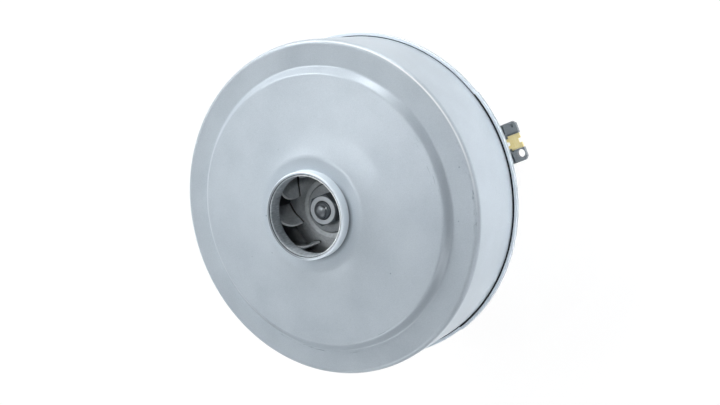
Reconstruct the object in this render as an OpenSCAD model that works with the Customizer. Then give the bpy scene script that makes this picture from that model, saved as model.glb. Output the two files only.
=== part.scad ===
// Vacuum cleaner motor unit: a fan casing with one impeller in front and a commutator motor behind it.
// The shaft stands upright, the air inlet is at the top and the rear bearing boss is at z = 0.

/* [Fan cover] */
// Diameter of the cover's outer wall
cover_d = 132; // [128:0.5:138]
// Thickness of the cover's steel sheet
cover_t = 1; // [0.8:0.05:1.2]
// Height of the flat front ring above the bracket
cover_wall_h = 32.9; // [31:0.1:35]
// Radius between the wall and the flat front ring
corner_round = 3.5; // [2.5:0.1:4.5]
// Diameter of the flat front ring at the foot of its shoulder
foot_d = 111.7; // [109:0.1:114]
// Diameter of the shoulder's crest
crest_d = 106.4; // [103:0.1:107]
// Height of the shoulder's crest above the flat ring
shoulder_h = 3.2; // [2.4:0.1:4]
// Diameter where the bell turns steeper towards the inlet
bell_knee_d = 59; // [54:0.5:64]
// Height of that turn above the flat ring
bell_knee_h = 5.9; // [5:0.1:6.5]
// Diameter of the rounded ring at the top of the bell
flare_d = 44; // [43:0.1:47]
// Height of the inlet's flat ring above the front ring
annulus_h = 8.5; // [8:0.1:10]
// Outer diameter of the inlet collar
collar_d = 34.2; // [33.5:0.1:36]
// Height of the collar above its flat ring
collar_h = 4.7; // [4:0.1:6]
// Thickness of the collar, whose sheet is drawn thin and folded back on itself
collar_t = 1.2; // [1:0.1:1.6]

/* [Inlet seal ring] */
// Wall of the seal ring
seal_t = 0.5; // [0.4:0.05:0.8]
// How far the seal ring's rim stays below the collar's lip
seal_drop = 0.4; // [0.3:0.1:1]
// Thickness of the flange that seats under the cover
seal_flange_t = 0.9; // [0.6:0.1:1.2]
// Reach of that flange beyond the ring
seal_flange_w = 1.8; // [1:0.1:3]

/* [Front bracket] */
// Thickness of the bracket's steel sheet
bracket_t = 1.2; // [1:0.1:1.5]
// Gap between the cover's wall and the rim's lip
lip_gap = 0.7; // [0.3:0.05:0.9]
// Thickness of the rim's lip
lip_t = 0.8; // [0.7:0.1:1.2]
// Height of the lip above the bracket's face
lip_h = 0.8; // [0.5:0.1:2]
// How far the rim steps out over two quarter turns
rim_step = 0.4; // [0.2:0.1:0.8]
// Number of air windows in the bracket
window_count = 8; // [6:1:8]
// Inner diameter of the ring of air windows
window_in_d = 46; // [40:1:48]
// Outer diameter of the ring of air windows
window_out_d = 68; // [62:1:70]
// Angle that each air window covers
window_angle = 24; // [18:1:28]
// How far the front bearing sits below the bracket's face
bearing_drop = 0.8; // [0.4:0.1:1]

/* [Motor housing] */
// Diameter of the motor housing
housing_d = 84; // [83:0.5:88]
// Thickness of the housing's steel sheet
housing_t = 1.2; // [1:0.1:1.4]
// Width of the housing's front flange
flange_w = 9; // [8:0.5:11]
// Room between the armature's end turns and the bracket
front_room = 2; // [1:0.1:4]
// Thickness of the rear boss's floor
boss_floor_t = 1.5; // [1.2:0.1:2]
// Width of a vent slot in the wall
vent_w = 11; // [8:0.5:12]
// Height of a vent slot in the wall
vent_h = 16; // [10:0.5:17]
// Radius of the bend round the housing's rear edge
housing_round = 4; // [3:0.5:5]

/* [Shaft and bearings] */
// Shaft diameter in the bearings and the impeller
shaft_d = 8; // [7:0.5:9]
// Width of the shoulders that the bearings seat on
shoulder_w = 1; // [0.5:0.1:1.5]
// Width of the step down to the thread at the shaft's tip
thread_step = 0.5; // [0.3:0.1:0.8]
// How far the shaft's tip stands out of the nut
tip_out = 2.5; // [1.5:0.1:3]
// Outer diameter of each ball bearing
bearing_d = 22; // [21:0.5:24]
// Width of each ball bearing
bearing_w = 7; // [6.5:0.5:8]
// Diameter of a bearing ball
ball_d = 3.97; // [3.6:0.01:4.1]
// Number of balls in a bearing
ball_count = 7; // [6:1:8]
// Height taken up by the wave washer under the rear bearing
preload_h = 0.9; // [0.8:0.05:1.2]

/* [Impeller] */
// Diameter of the impeller
impeller_d = 108; // [104:0.5:109]
// Height of the back plate above the bracket's face
plate_rise = 14.2; // [14:0.1:15]
// Thickness of the back plate
plate_t = 1; // [0.8:0.1:1.2]
// Thickness of the front shroud
shroud_t = 0.8; // [0.6:0.1:1]
// Width of the outlet between plate and shroud
outlet_h = 8.5; // [7.5:0.1:9.5]
// Rise of the shroud from its outlet to the corner at the eye
shroud_rise = 6; // [5:0.1:7]
// Inner diameter of the shroud's eye
eye_d = 41; // [40:0.1:42]
// Running gap between the eye's rim and the inlet seal ring
eye_gap = 0.8; // [0.6:0.1:1.6]
// Radius of the shroud at the eye
eye_round = 9; // [6:0.1:9]
// Number of blades
blade_count = 9; // [7:1:11]
// Turn of a blade, in degrees, for each growth of its radius by a factor of 2.718
blade_wrap = 44.5; // [35:0.5:55]
// Angle of the first blade's leading edge
blade_start = 26; // [0:1:39]
// Thickness of the cast blades in the eye
cast_blade_t = 1; // [0.8:0.1:1.4]
// Thickness of the sheet blades behind them
sheet_blade_t = 0.9; // [0.7:0.1:1.2]
// Diameter at the inner end of a leading edge
lead_in_d = 31.2; // [30:0.1:33]
// Diameter at the outer end of a leading edge
lead_out_d = 33.6; // [33:0.1:36]
// Height of a leading edge's outer end above the back plate
lead_out_h = 22.4; // [21:0.1:22.8]
// Diameter of the hub's foot
hub_base_d = 52; // [50:0.5:54]
// Diameter of the hub's top
hub_top_d = 24; // [22:0.5:25]
// Height of the hub
hub_h = 11.5; // [11:0.1:12.5]
// Diameter where the hub's cone turns steeper
hub_knee_d = 35.8; // [34:0.1:38]
// Depth of that turn below the hub's top
hub_knee_drop = 2.8; // [2.2:0.1:3.2]
// Diameter of the clamping washer
washer_d = 19; // [18:0.5:20]
// Thickness of the clamping washer
washer_t = 1; // [0.8:0.1:1.6]
// Width of the nut across its flats
nut_af = 11.5; // [11:0.5:13]
// Height of the nut
nut_h = 5; // [4:0.1:5.5]
// Outer diameter of the spacer bush
spacer_d = 12; // [11.5:0.1:12.5]

/* [Diffuser] */
// Thickness of the diffuser's disc and vanes
diffuser_t = 1.6; // [1.4:0.1:2]
// Running gap between the back plate and the disc
diffuser_gap = 2.2; // [1.5:0.1:2.5]
// Running gap between the impeller and the diffuser's vanes
vane_gap = 1.8; // [1.2:0.1:2]
// Number of diffuser vanes above the disc
vane_count = 15; // [11:1:17]
// Width of the air passage between the disc and the cover
passage_w = 4.5; // [3.5:0.1:6]
// Diameter at the inner ends of the return vanes
return_in_d = 76; // [74:0.5:80]
// Number of return vanes below the disc
return_count = 12; // [8:4:16]

/* [Stator] */
// Height of the stator's and the armature's core
core_h = 28; // [26:0.5:28]
// Air gap between armature and stator
air_gap = 0.5; // [0.4:0.05:0.8]
// Thickness of the stator's outer ring
yoke_t = 6.2; // [5.8:0.1:6.6]
// Width of a pole's neck
pole_w = 26; // [24:0.5:26.5]
// Thickness of a pole's shoe
shoe_t = 3.6; // [3:0.1:3.8]
// Half angle of a pole's shoe
shoe_angle = 55; // [50:1:58]
// Wall of a coil former
former_t = 0.6; // [0.5:0.05:0.7]
// Build-up of a coil's inner layers
coil_core_w = 3.2; // [2.8:0.1:3.6]
// Diameter of the winding wire
wire_d = 1; // [0.9:0.05:1.05]
// Turns in a coil's outer layer
coil_turns = 3; // [2:1:3]

/* [Armature] */
// Diameter of the armature
armature_d = 39; // [38:0.5:40]
// Number of armature slots
slot_count = 12; // [10:1:12]
// Diameter of an armature slot
slot_d = 5; // [4.4:0.1:5.2]
// Thickness of the armature's end insulation
insulation_t = 0.6; // [0.4:0.1:0.8]
// Height of the end turns on the commutator's side
rear_turns_h = 2.4; // [2:0.1:2.8]
// Height of the end turns on the fan's side
front_turns_h = 6; // [4:0.1:6.2]

/* [Commutator and brushes] */
// Diameter of the commutator's track
commutator_d = 23; // [22:0.1:24]
// Length of the commutator
commutator_h = 18; // [17:0.5:19]
// Number of commutator bars
bar_count = 24; // [20:1:24]
// Width of a carbon brush round the commutator
brush_w = 6.2; // [5.6:0.1:6.6]
// Width of a carbon brush along the shaft
brush_h = 9; // [8:0.1:9.4]
// Length of a carbon brush
brush_l = 18; // [16:0.5:19]
// Travel of a brush away from the commutator
brush_travel = 6; // [4:0.5:8]
// Wall of a brush tube
tube_t = 0.6; // [0.5:0.05:0.7]
// Width of a brush holder
holder_w = 17.4; // [16.5:0.1:18]
// Wall of a brush holder above and below its tube
holder_wall = 1.3; // [1.2:0.1:2]
// Length of a brush holder's fork
fork_l = 13.6; // [13:0.1:15]
// Thickness of the holder's forked plate at its root
fork_t = 3.4; // [2.8:0.1:4]
// Thickness of the fork's two ears
ear_t = 1.8; // [1.6:0.1:2.4]
// Width of a brush terminal
terminal_w = 6.4; // [5.8:0.1:6.8]
// Thickness of a brush terminal
terminal_t = 0.8; // [0.6:0.05:0.8]
// How far a brush terminal ends short of the fork's tips
terminal_inset = 0.2; // [0.1:0.1:0.6]
// Wire diameter of a brush spring
spring_wire_d = 0.6; // [0.5:0.05:0.7]
// Turns of a brush spring
spring_turns = 8; // [6:1:8]

/* [Hidden] */
$fn = 96;

// Clearances: seat between pieces of one body, running gap to a moving piece, play of a brush in its tube
seat = 0.03;
running = 0.06;
play = 0.12;
loose = 0.3;
past = 1;
arc_steps = 8;
least_round = 0.1;

// Radii of the casing
cover_r = cover_d / 2;
cover_in_r = cover_r - cover_t;
collar_r = collar_d / 2;
collar_in_r = collar_r - collar_t;
rim_in_r = cover_r + lip_gap;
rim_r = rim_in_r + lip_t;
rim_arc = 90;
rim_arc_start = -71;
foot_round = 1.2;
crest_round = 1.5;
flare_round = 1.5;
bell_run = [(bell_knee_d - flare_d) / 2, annulus_h - bell_knee_h];
bell_turn = atan2(bell_run[1], bell_run[0]) - atan2(bell_knee_h - shoulder_h, (crest_d - bell_knee_d) / 2);
bell_bend_share = 0.65;
bell_round = bell_bend_share * norm(bell_run) / tan(bell_turn / 2);
collar_foot_round = 0.8;
lip_round = 0.55;
lip_in_round = 0.3;

// Bearings: pitch of the balls, races and the cage between them
bearing_r = bearing_d / 2;
pitch_r = (bearing_r + shaft_d / 2) / 2;
ball_r = ball_d / 2;
groove_r = ball_r + running;
race_gap_r = 1.15;
cage_t = 1;
cage_h = 4.9;
shield_t = 0.4;
shield_gap = 0.25;
bearing_round = 0.4;
boss_r = bearing_r + seat + housing_t;

// Motor stack, from the rear boss to the fan
rear_bearing_z = boss_floor_t + preload_h;
rear_shoulder_z = rear_bearing_z + bearing_w;
boss_lip = 0.6;
floor_z = rear_shoulder_z + boss_lip;
commutator_lift = 2.5;
commutator_z = floor_z + commutator_lift;
commutator_gap = 0.5;
rear_turns_z = commutator_z + commutator_h + commutator_gap;
core_z = rear_turns_z + rear_turns_h + insulation_t;
core_top_z = core_z + core_h;
front_turns_z = core_top_z + insulation_t;
underside_z = front_turns_z + front_turns_h + front_room;
face_z = underside_z + bracket_t;
front_bearing_z = face_z - bearing_drop;
front_bearing_top_z = front_bearing_z + bearing_w;
shaft_end_gap = 0.5;
shaft_end_z = boss_floor_t + shaft_end_gap;
shaft_body_d = shaft_d + 2 * shoulder_w;
thread_d = shaft_d - 2 * thread_step;

// Heights of the casing above the motor
ring_z = face_z + cover_wall_h;
annulus_z = ring_z + annulus_h;
overall_h = annulus_z + collar_h;
seal_z = annulus_z - cover_t - seal_flange_t;

// Fan stack, from the front bearing to the shaft's tip
plate_z = face_z + plate_rise;
plate_top_z = plate_z + plate_t;
hub_top_z = plate_top_z + hub_h;
thread_under = 1;
tip_r = 1.8;
tip_taper_l = 2.2;
shoulder_z = hub_top_z - thread_under;
washer_top_z = hub_top_z + washer_t;
nut_top_z = washer_top_z + nut_h;
tip_z = nut_top_z + tip_out;
impeller_r = impeller_d / 2;
outlet_z = plate_top_z + outlet_h;
eye_corner_z = outlet_z + shroud_rise;
eye_z = seal_z - eye_gap;
disc_top_z = plate_z - diffuser_gap;
disc_z = disc_top_z - diffuser_t;
hub_rim_h = 0.6;
hub_knee_round = 12;
hub_top_round = 0.5;
nut_face_inset = 0.4;
blade_join_gap = 0.4;
blade_join_r = hub_base_d / 2 + blade_join_gap;
disc_r = cover_in_r - passage_w;

// Housing and its screws
housing_r = housing_d / 2;
housing_in_r = housing_r - housing_t;
flange_z = underside_z - housing_t;
flange_round = 1;
boss_round = 0.8;
screw_r = 1.9;
screw_hole_r = screw_r + loose;
screw_head_r = 3.4;
screw_head_h = 2.4;
screw_out = 2.4;
screw_circle_r = housing_r + flange_w / 2;
flange_r = housing_r + flange_w;
screw_angles = [45, 135, 225, 315];
vent_angles = [62, 90, 118, 242, 270, 298];
vent_lift = 3.4;
vent_z = floor_z + vent_lift;
floor_window_gap = 6;
floor_window_w = 11;
floor_window_in_r = boss_r + floor_window_gap;
floor_window_out_r = floor_window_in_r + floor_window_w;
floor_window_angle = 26;
floor_window_count = 8;

// Stator, coils and armature
core_r = housing_in_r - seat;
slot_r = core_r - yoke_t;
bore_r = armature_d / 2 + air_gap;
shoe_r = bore_r + shoe_t;
former_in_x = pole_w / 2 + seat;
former_in_z = core_h / 2 + seat;
former_x = former_in_x + former_t;
former_z = former_in_z + former_t;
wire_r = wire_d / 2;
wire_gap = 0.55;
wire_pitch = wire_d + wire_gap;
wire_lift = 0.12;
coil_x = former_x + play;
coil_z = former_z + play;
loop_x = coil_x + coil_core_w + wire_lift + wire_r;
loop_z = coil_z + coil_core_w + wire_lift + wire_r;
coil_h = wire_d + wire_pitch * (coil_turns + 0.5);
flange_reach = coil_core_w + wire_d + wire_lift + 2 * play;
coil_in_round = 1;
shoe_gap = 0.6;
former_y = sqrt(shoe_r * shoe_r - former_in_x * former_in_x) + shoe_gap;
former_h = coil_h + 2 * former_t + 2 * play;
coil_y = former_y + former_t + play;
core_mid_z = core_z + core_h / 2;
lug_h = 1.6;
lug_w = 1;
tooth_tip_t = 2;
slot_pitch_r = armature_d / 2 - slot_d / 2 - tooth_tip_t;
slot_mouth_w = 2;
slot_play = 0.2;
turns_inset = 1;
turns_shaft_gap = 1.5;
turns_r = armature_d / 2 - turns_inset;
turns_in_r = shaft_body_d / 2 + turns_shaft_gap;
turns_round = 1.1;

// Commutator
track_r = commutator_d / 2;
hub_wall = 3.6;
bar_in_r = shaft_body_d / 2 + hub_wall;
bar_gap = 0.5;
bar_angle = 360 / bar_count - asin(bar_gap / track_r);
riser_h = 2.2;
riser_w = 1.9;
riser_r = track_r + riser_w;
bar_inset = 0.6;

// Brush gear on the +X side
brush_z = commutator_z + (bar_inset + commutator_h - riser_h) / 2;
brush_end_x = track_r + brush_l;
spring_ends = 1.6;
tube_end_x = brush_end_x + brush_travel + spring_turns * spring_wire_d + spring_ends + tube_t;
tube_in_w = brush_w + 2 * play;
tube_in_h = brush_h + 2 * play;
tube_w = tube_in_w + 2 * tube_t;
tube_h = tube_in_h + 2 * tube_t;
tube_track_gap = 4;
holder_track_gap = 10;
tube_in_x = track_r + tube_track_gap;
holder_in_x = track_r + holder_track_gap;
holder_h = tube_h + 2 * holder_wall;
holder_tip_x = tube_end_x + fork_l;
terminal_end_x = holder_tip_x - terminal_inset;
holder_top_z = brush_z + holder_h / 2;
fork_z = holder_top_z - fork_t;
fork_gap_w = terminal_w + 2 * running;
fork_chamfer = 1.2;
terminal_z = brush_z + tube_h / 2;
arm_seat = 5;
terminal_in_x = tube_end_x - arm_seat;
arm_w = 1.2;
neck_narrowing = 1;
neck_w = terminal_w - 2 * neck_narrowing;
neck_gap_w = neck_w + 2 * running;
terminal_plate_l = 5.5;
neck_end_x = terminal_end_x - terminal_plate_l;
vee_l = 1.4;
vee_end_w = 1.2;
notch_w = 1.9;
notch_l = 1.3;
fork_hole_r = 1.75;
fork_hole_wall = 0.4;
fork_hole_inset = fork_hole_r + fork_hole_wall;
fork_hole_x = holder_tip_x - fork_hole_inset;
fork_hole_y = -fork_gap_w / 2 - fork_hole_inset;
fork_groove_inset = 6.9;
fork_groove_x = holder_tip_x - fork_groove_inset;
fork_groove_w = 1;
fork_groove_depth = 1.6;
fork_groove_wall = 1.2;
ear_past_neck = 0.5;
ear_root_x = neck_end_x + ear_past_neck;
side_pocket_w = 0.7;
side_pocket_depth = 1.2;
side_pocket_wall = 0.9;
latch_pocket = [0.8, 1.4, 1.8];
latch_pocket_inset = [1.7, 1.8];
wing_w = 5.8;
wing_t = 1.4;
wing_root = 4;
wing_x = housing_r + wing_t;
wing_h = 7;
holder_screw_r = 1.25;
holder_screw_head_r = 2.1;
holder_screw_head_h = 1;
holder_screw_y = holder_w / 2 + wing_w / 2;
holder_screw_l = 5;
holder_screw_tip_x = housing_r - holder_screw_l;
lead_r = 0.5;

// Brush spring, between the brush and the tube's closed end
spring_wire_r = spring_wire_d / 2;
spring_play = 0.5;
spring_r = min(tube_in_w, tube_in_h) / 2 - spring_wire_r - spring_play;
spring_x0 = brush_end_x;
spring_x1 = tube_end_x - tube_t;
spring_steps = 8;
tube_sides = 6;

// Outlines: a vertex is [across, along, corner radius]
function unit(v) = v / norm(v);
function flat(p) = [p[0], p[1]];
function turned(v) = [-v[1], v[0]];
function short_turn(a) = a > 180 ? a - 360 : a < -180 ? a + 360 : a;

// One corner as an arc that meets both its sides smoothly, or as the bare vertex
function corner(a, b, c) =
    b[2] == 0 ? [flat(b)] :
    let (
        u = unit(flat(a) - flat(b)),
        w = unit(flat(c) - flat(b)),
        half = acos(u * w) / 2,
        centre = flat(b) + unit(u + w) * b[2] / sin(half),
        from = flat(b) + u * b[2] / tan(half) - centre,
        to = flat(b) + w * b[2] / tan(half) - centre,
        start = atan2(from[1], from[0]),
        sweep = short_turn(atan2(to[1], to[0]) - start)
    )
    [for (k = [0:arc_steps]) centre + b[2] * [cos(start + sweep * k / arc_steps),
                                              sin(start + sweep * k / arc_steps)]];

// A closed outline with its corners rounded
function rounded(p) =
    [for (i = [0:len(p) - 1]) each corner(p[(i + len(p) - 1) % len(p)], p[i], p[(i + 1) % len(p)])];

// The same path moved to its left by a sheet's thickness, with radii that keep the sheet even
function inset(p, t) = [
    for (i = [0:len(p) - 1])
        let (
            before = unit(flat(p[max(i, 1)]) - flat(p[max(i, 1) - 1])),
            after = unit(flat(p[min(i, len(p) - 2) + 1]) - flat(p[min(i, len(p) - 2)])),
            m = turned(before),
            n = turned(after),
            left = before[0] * after[1] - before[1] * after[0] > 0,
            moved = flat(p[i]) + t * (m + n) / (1 + m * n)
        )
        [moved[0], moved[1], p[i][2] == 0 ? 0 : max(p[i][2] + (left ? -t : t), least_round)]
];

function backwards(p) = [for (i = [len(p) - 1:-1:0]) p[i]];

module lathe(outline, angle = 360) {
    rotate_extrude(angle = angle) polygon(outline);
}

module ring(r_in, r_out, z, h) {
    translate([0, 0, z]) linear_extrude(h) difference() {
        circle(r_out);
        circle(r_in);
    }
}

// Part of a ring, centred on an angle
module ring_part(r_in, r_out, z, h, centre, angle) {
    rotate([0, 0, centre - angle / 2])
        rotate_extrude(angle = angle)
            translate([r_in, z]) square([r_out - r_in, h]);
}

module around(count, start = 0) {
    for (k = [0:count - 1]) rotate([0, 0, start + 360 * k / count]) children();
}

module left_side() {
    rotate([0, 0, 180]) children();
}

// A round tube swept along points, each with a normal that keeps its sides from twisting
function tangent(p, i) = unit(p[min(i + 1, len(p) - 1)] - p[max(i - 1, 0)]);
function tube_ring(p, normals, r, i) =
    let (
        t = tangent(p, i),
        v = unit(cross(t, normals[i])),
        u = cross(v, t)
    )
    [for (k = [0:tube_sides - 1]) p[i] + r * (cos(360 * k / tube_sides) * u + sin(360 * k / tube_sides) * v)];

module swept_tube(p, normals, r) {
    s = tube_sides;
    last = (len(p) - 1) * s;
    points = [for (i = [0:len(p) - 1]) each tube_ring(p, normals, r, i)];
    walls = [
        for (i = [0:len(p) - 2], k = [0:s - 1])
            let (a = i * s + k, b = i * s + (k + 1) % s)
            each [[a, a + s, b], [b, a + s, b + s]]
    ];
    caps = [
        for (k = [1:s - 2])
            each [[0, k, k + 1], [last, last + k + 1, last + k]]
    ];
    polyhedron(points, concat(walls, caps));
}

// Least distance between points of one path that lie half a turn or more apart, less the wire
function least_gap(p, apart, d) =
    min([for (i = [0:len(p) - 1 - apart], j = [i + apart:len(p) - 1]) norm(p[i] - p[j])]) - d;

// Fan cover: drawn steel, from the wall's foot over ring, shoulder and bell to the folded collar
cover_path = [
    [cover_r, face_z, 0],
    [cover_r, ring_z, corner_round],
    [foot_d / 2, ring_z, foot_round],
    [crest_d / 2, ring_z + shoulder_h, crest_round],
    [bell_knee_d / 2, ring_z + bell_knee_h, bell_round],
    [flare_d / 2, annulus_z, flare_round],
    [collar_r, annulus_z, collar_foot_round]
];
cover_inside = inset(cover_path, cover_t);
cover_outline = concat(
    cover_path,
    [[collar_r, overall_h, lip_round], [collar_in_r, overall_h, lip_in_round]],
    [[collar_in_r, annulus_z - cover_t, 0]],
    backwards([for (i = [0:len(cover_inside) - 2]) cover_inside[i]])
);

module fan_cover() {
    color("#BFC8D1") lathe(rounded(cover_outline));
}

// Seal ring: a plastic sleeve in the collar, with a flange that seats under the cover
module inlet_seal_ring() {
    seal_r = collar_in_r - seat;
    color("#A9AFB4") lathe([
        [seal_r - seal_t, seal_z],
        [seal_r + seal_flange_w, seal_z],
        [seal_r + seal_flange_w, seal_z + seal_flange_t],
        [seal_r, seal_z + seal_flange_t],
        [seal_r, overall_h - seal_drop],
        [seal_r - seal_t, overall_h - seal_drop]
    ]);
}

// Front bracket: plate with an upturned rim, a cup for the front bearing and air windows
module front_bracket() {
    cup_r = bearing_r + seat;
    roof_z = front_bearing_top_z;
    color("#B7C0C9") difference() {
        union() {
            lathe([
                [cup_r, underside_z],
                [rim_r, underside_z],
                [rim_r, face_z + lip_h],
                [rim_in_r, face_z + lip_h],
                [rim_in_r, face_z],
                [cup_r + bracket_t, face_z],
                [cup_r + bracket_t, roof_z + bracket_t],
                [spacer_d / 2 + loose, roof_z + bracket_t],
                [spacer_d / 2 + loose, roof_z],
                [cup_r, roof_z]
            ]);
            for (turn = [0, 180])
                ring_part(rim_r - lip_t / 2, rim_r + rim_step, underside_z, bracket_t + lip_h,
                          rim_arc_start + rim_arc / 2 + turn, rim_arc);
        }
        for (k = [0:window_count - 1])
            ring_part(window_in_d / 2, window_out_d / 2, underside_z - past, bracket_t + 2 * past,
                      360 * (k + 0.5) / window_count, window_angle);
        for (a = screw_angles)
            rotate([0, 0, a]) translate([screw_circle_r, 0, underside_z - past])
                cylinder(r = screw_r + seat, h = bracket_t + 2 * past);
    }
}

// Motor housing: drawn cup with the rear bearing boss, vents and windows for the brush holders
module motor_housing() {
    bore = bearing_r + seat;
    color("#AEB4B9") difference() {
        lathe(rounded([
            [0, 0, 0],
            [boss_r, 0, boss_round],
            [boss_r, floor_z - housing_t, 0],
            [housing_r, floor_z - housing_t, housing_round],
            [housing_r, flange_z, flange_round],
            [flange_r, flange_z, 0],
            [flange_r, underside_z, 0],
            [housing_in_r, underside_z, 0],
            [housing_in_r, floor_z, housing_round - housing_t],
            [bore, floor_z, 0],
            [bore, boss_floor_t, 0],
            [0, boss_floor_t, 0]
        ]));
        for (a = vent_angles)
            rotate([0, 0, a]) translate([housing_in_r - 2 * past, -vent_w / 2, vent_z])
                cube([housing_t + 4 * past, vent_w, vent_h]);
        for (k = [0:floor_window_count - 1])
            ring_part(floor_window_in_r, floor_window_out_r, floor_z - housing_t - past,
                      housing_t + 2 * past, 360 * (k + 0.5) / floor_window_count, floor_window_angle);
        for (side = [0, 180])
            rotate([0, 0, side]) {
                translate([0, -holder_w / 2 - loose, brush_z - holder_h / 2 - loose])
                    cube([housing_r + past, holder_w + 2 * loose, holder_h + 2 * loose]);
                for (y = [-holder_screw_y, holder_screw_y])
                    translate([0, y, brush_z]) rotate([0, 90, 0])
                        cylinder(r = holder_screw_r + seat, h = housing_r + past);
            }
        for (a = screw_angles)
            rotate([0, 0, a]) translate([screw_circle_r, 0, flange_z - past])
                cylinder(r = screw_hole_r, h = housing_t + 2 * past);
    }
}

module flange_screws() {
    color("#C7CACC") for (a = screw_angles)
        rotate([0, 0, a]) translate([screw_circle_r, 0, 0]) {
            translate([0, 0, flange_z - screw_head_h]) cylinder(r = screw_head_r, h = screw_head_h);
            translate([0, 0, flange_z - past])
                cylinder(r = screw_r, h = face_z + screw_out - flange_z + past);
        }
}

// Shaft: ground steel with a thick middle, a shoulder at each bearing and a threaded tip
module shaft() {
    chamfer = 0.5;
    color("#C9CCCE") lathe([
        [0, shaft_end_z],
        [shaft_d / 2 - chamfer, shaft_end_z],
        [shaft_d / 2, shaft_end_z + chamfer],
        [shaft_d / 2, rear_shoulder_z],
        [shaft_body_d / 2, rear_shoulder_z],
        [shaft_body_d / 2, front_bearing_z],
        [shaft_d / 2, front_bearing_z],
        [shaft_d / 2, shoulder_z],
        [thread_d / 2, shoulder_z],
        [thread_d / 2, tip_z - tip_taper_l],
        [tip_r, tip_z],
        [0, tip_z]
    ]);
}

// Ball bearing at a height: rings with a race groove, balls, cage and two shields
module bearing_ring(z, r_in, r_out) {
    mid_z = z + bearing_w / 2;
    color("#B9BCC0") difference() {
        lathe(rounded([
            [r_in, z, bearing_round],
            [r_out, z, bearing_round],
            [r_out, z + bearing_w, bearing_round],
            [r_in, z + bearing_w, bearing_round]
        ]));
        rotate_extrude() translate([pitch_r, mid_z]) circle(groove_r);
    }
}

module bearing_outer_ring(z) {
    bearing_ring(z, pitch_r + race_gap_r, bearing_r);
}

module bearing_inner_ring(z) {
    bearing_ring(z, shaft_d / 2 + seat, pitch_r - race_gap_r);
}

module bearing_balls(z) {
    color("#D3D6D9") around(ball_count)
        translate([pitch_r, 0, z + bearing_w / 2]) sphere(ball_r);
}

module bearing_cage(z) {
    mid_z = z + bearing_w / 2;
    color("#B98B4A") difference() {
        ring(pitch_r - cage_t / 2, pitch_r + cage_t / 2, mid_z - cage_h / 2, cage_h);
        around(ball_count) translate([pitch_r, 0, mid_z]) sphere(groove_r);
    }
}

module bearing_shields(z) {
    shield_out_r = pitch_r + race_gap_r - seat;
    shield_in_r = pitch_r - race_gap_r + shield_gap;
    color("#9EA3A8") {
        ring(shield_in_r, shield_out_r, z + bearing_round, shield_t);
        ring(shield_in_r, shield_out_r, z + bearing_w - bearing_round - shield_t, shield_t);
    }
}

// Wave washer: spring steel that pushes the rear bearing's outer ring towards the fan
wave_t = 0.3;
wave_count = 3;
wave_steps = 36;
wave_w = 2;

module wave_washer() {
    wave_out_r = bearing_r - loose;
    radii = [wave_out_r - wave_w, wave_out_r];
    rise = preload_h - wave_t - seat;
    points = [
        for (k = [0:wave_steps - 1])
            let (a = 360 * k / wave_steps, z = boss_floor_t + rise * (1 + cos(wave_count * a)) / 2)
            each [
                [radii[0] * cos(a), radii[0] * sin(a), z],
                [radii[1] * cos(a), radii[1] * sin(a), z],
                [radii[1] * cos(a), radii[1] * sin(a), z + wave_t],
                [radii[0] * cos(a), radii[0] * sin(a), z + wave_t]
            ]
    ];
    faces = [
        for (k = [0:wave_steps - 1], c = [0:3])
            let (
                here = 4 * k,
                next = 4 * ((k + 1) % wave_steps),
                d = (c + 1) % 4
            )
            each [[here + c, here + d, next + c], [here + d, next + d, next + c]]
    ];
    color("#8F9498") polyhedron(points, faces);
}

// Impeller: blades follow a spiral, so that a point's angle falls as the log of its radius
function spiral_angle(r) = -blade_wrap * ln(r / (lead_in_d / 2));
function spiral_point(r, side, t, wrap_angle, wrap) =
    let (
        lean = wrap * PI / 180,
        across = t / 2 * side / sqrt(1 + lean * lean),
        a = wrap_angle + across / r * 180 / PI
    )
    (r + across * lean) * [cos(a), sin(a)];

blade_steps = 10;
module spiral_blade(r_in, r_out, t) {
    radii = [for (k = [0:blade_steps]) r_in * pow(r_out / r_in, k / blade_steps)];
    polygon(concat(
        [for (r = radii) spiral_point(r, 1, t, spiral_angle(r), blade_wrap)],
        [for (r = backwards(radii)) spiral_point(r, -1, t, spiral_angle(r), blade_wrap)]
    ));
}

shroud_path = [
    [impeller_r, outlet_z, 0],
    [eye_d / 2, eye_corner_z, eye_round],
    [eye_d / 2, eye_z, 0]
];

// The space under the shroud, less a gap, which the blades are trimmed to
module under_shroud(gap) {
    edge = inset(shroud_path, gap);
    lathe(rounded(concat(
        [[0, plate_top_z, 0], [impeller_r - sheet_blade_t, plate_top_z, 0]],
        [[impeller_r - sheet_blade_t, outlet_z - gap, 0]],
        [[edge[1][0], edge[1][1], edge[1][2]]],
        [[edge[1][0], eye_z, 0], [0, eye_z, 0]]
    )));
}

module inducer() {
    lead_in_z = hub_top_z - hub_knee_drop * (lead_in_d - hub_top_d) / (hub_knee_d - hub_top_d);
    lead_out_z = plate_top_z + lead_out_h;
    color("#6F757B") {
        difference() {
            union() {
                lathe(rounded([
                    [0, plate_top_z, 0],
                    [hub_base_d / 2, plate_top_z, 0],
                    [hub_base_d / 2, plate_top_z + hub_rim_h, 0],
                    [hub_knee_d / 2, hub_top_z - hub_knee_drop, hub_knee_round],
                    [hub_top_d / 2, hub_top_z, hub_top_round],
                    [0, hub_top_z, 0]
                ]));
                intersection() {
                    translate([0, 0, plate_top_z]) linear_extrude(lead_out_h)
                        around(blade_count, blade_start)
                            spiral_blade(lead_in_d / 2 - past, hub_base_d / 2, cast_blade_t);
                    under_shroud(loose);
                    lathe([
                        [0, plate_top_z],
                        [hub_base_d / 2, plate_top_z],
                        [hub_base_d / 2, lead_out_z],
                        [lead_out_d / 2, lead_out_z],
                        [lead_in_d / 2, lead_in_z],
                        [0, lead_in_z]
                    ]);
                }
            }
            translate([0, 0, plate_top_z - past])
                cylinder(r = shaft_d / 2 + seat, h = hub_h + 2 * past);
        }
    }
}

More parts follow.
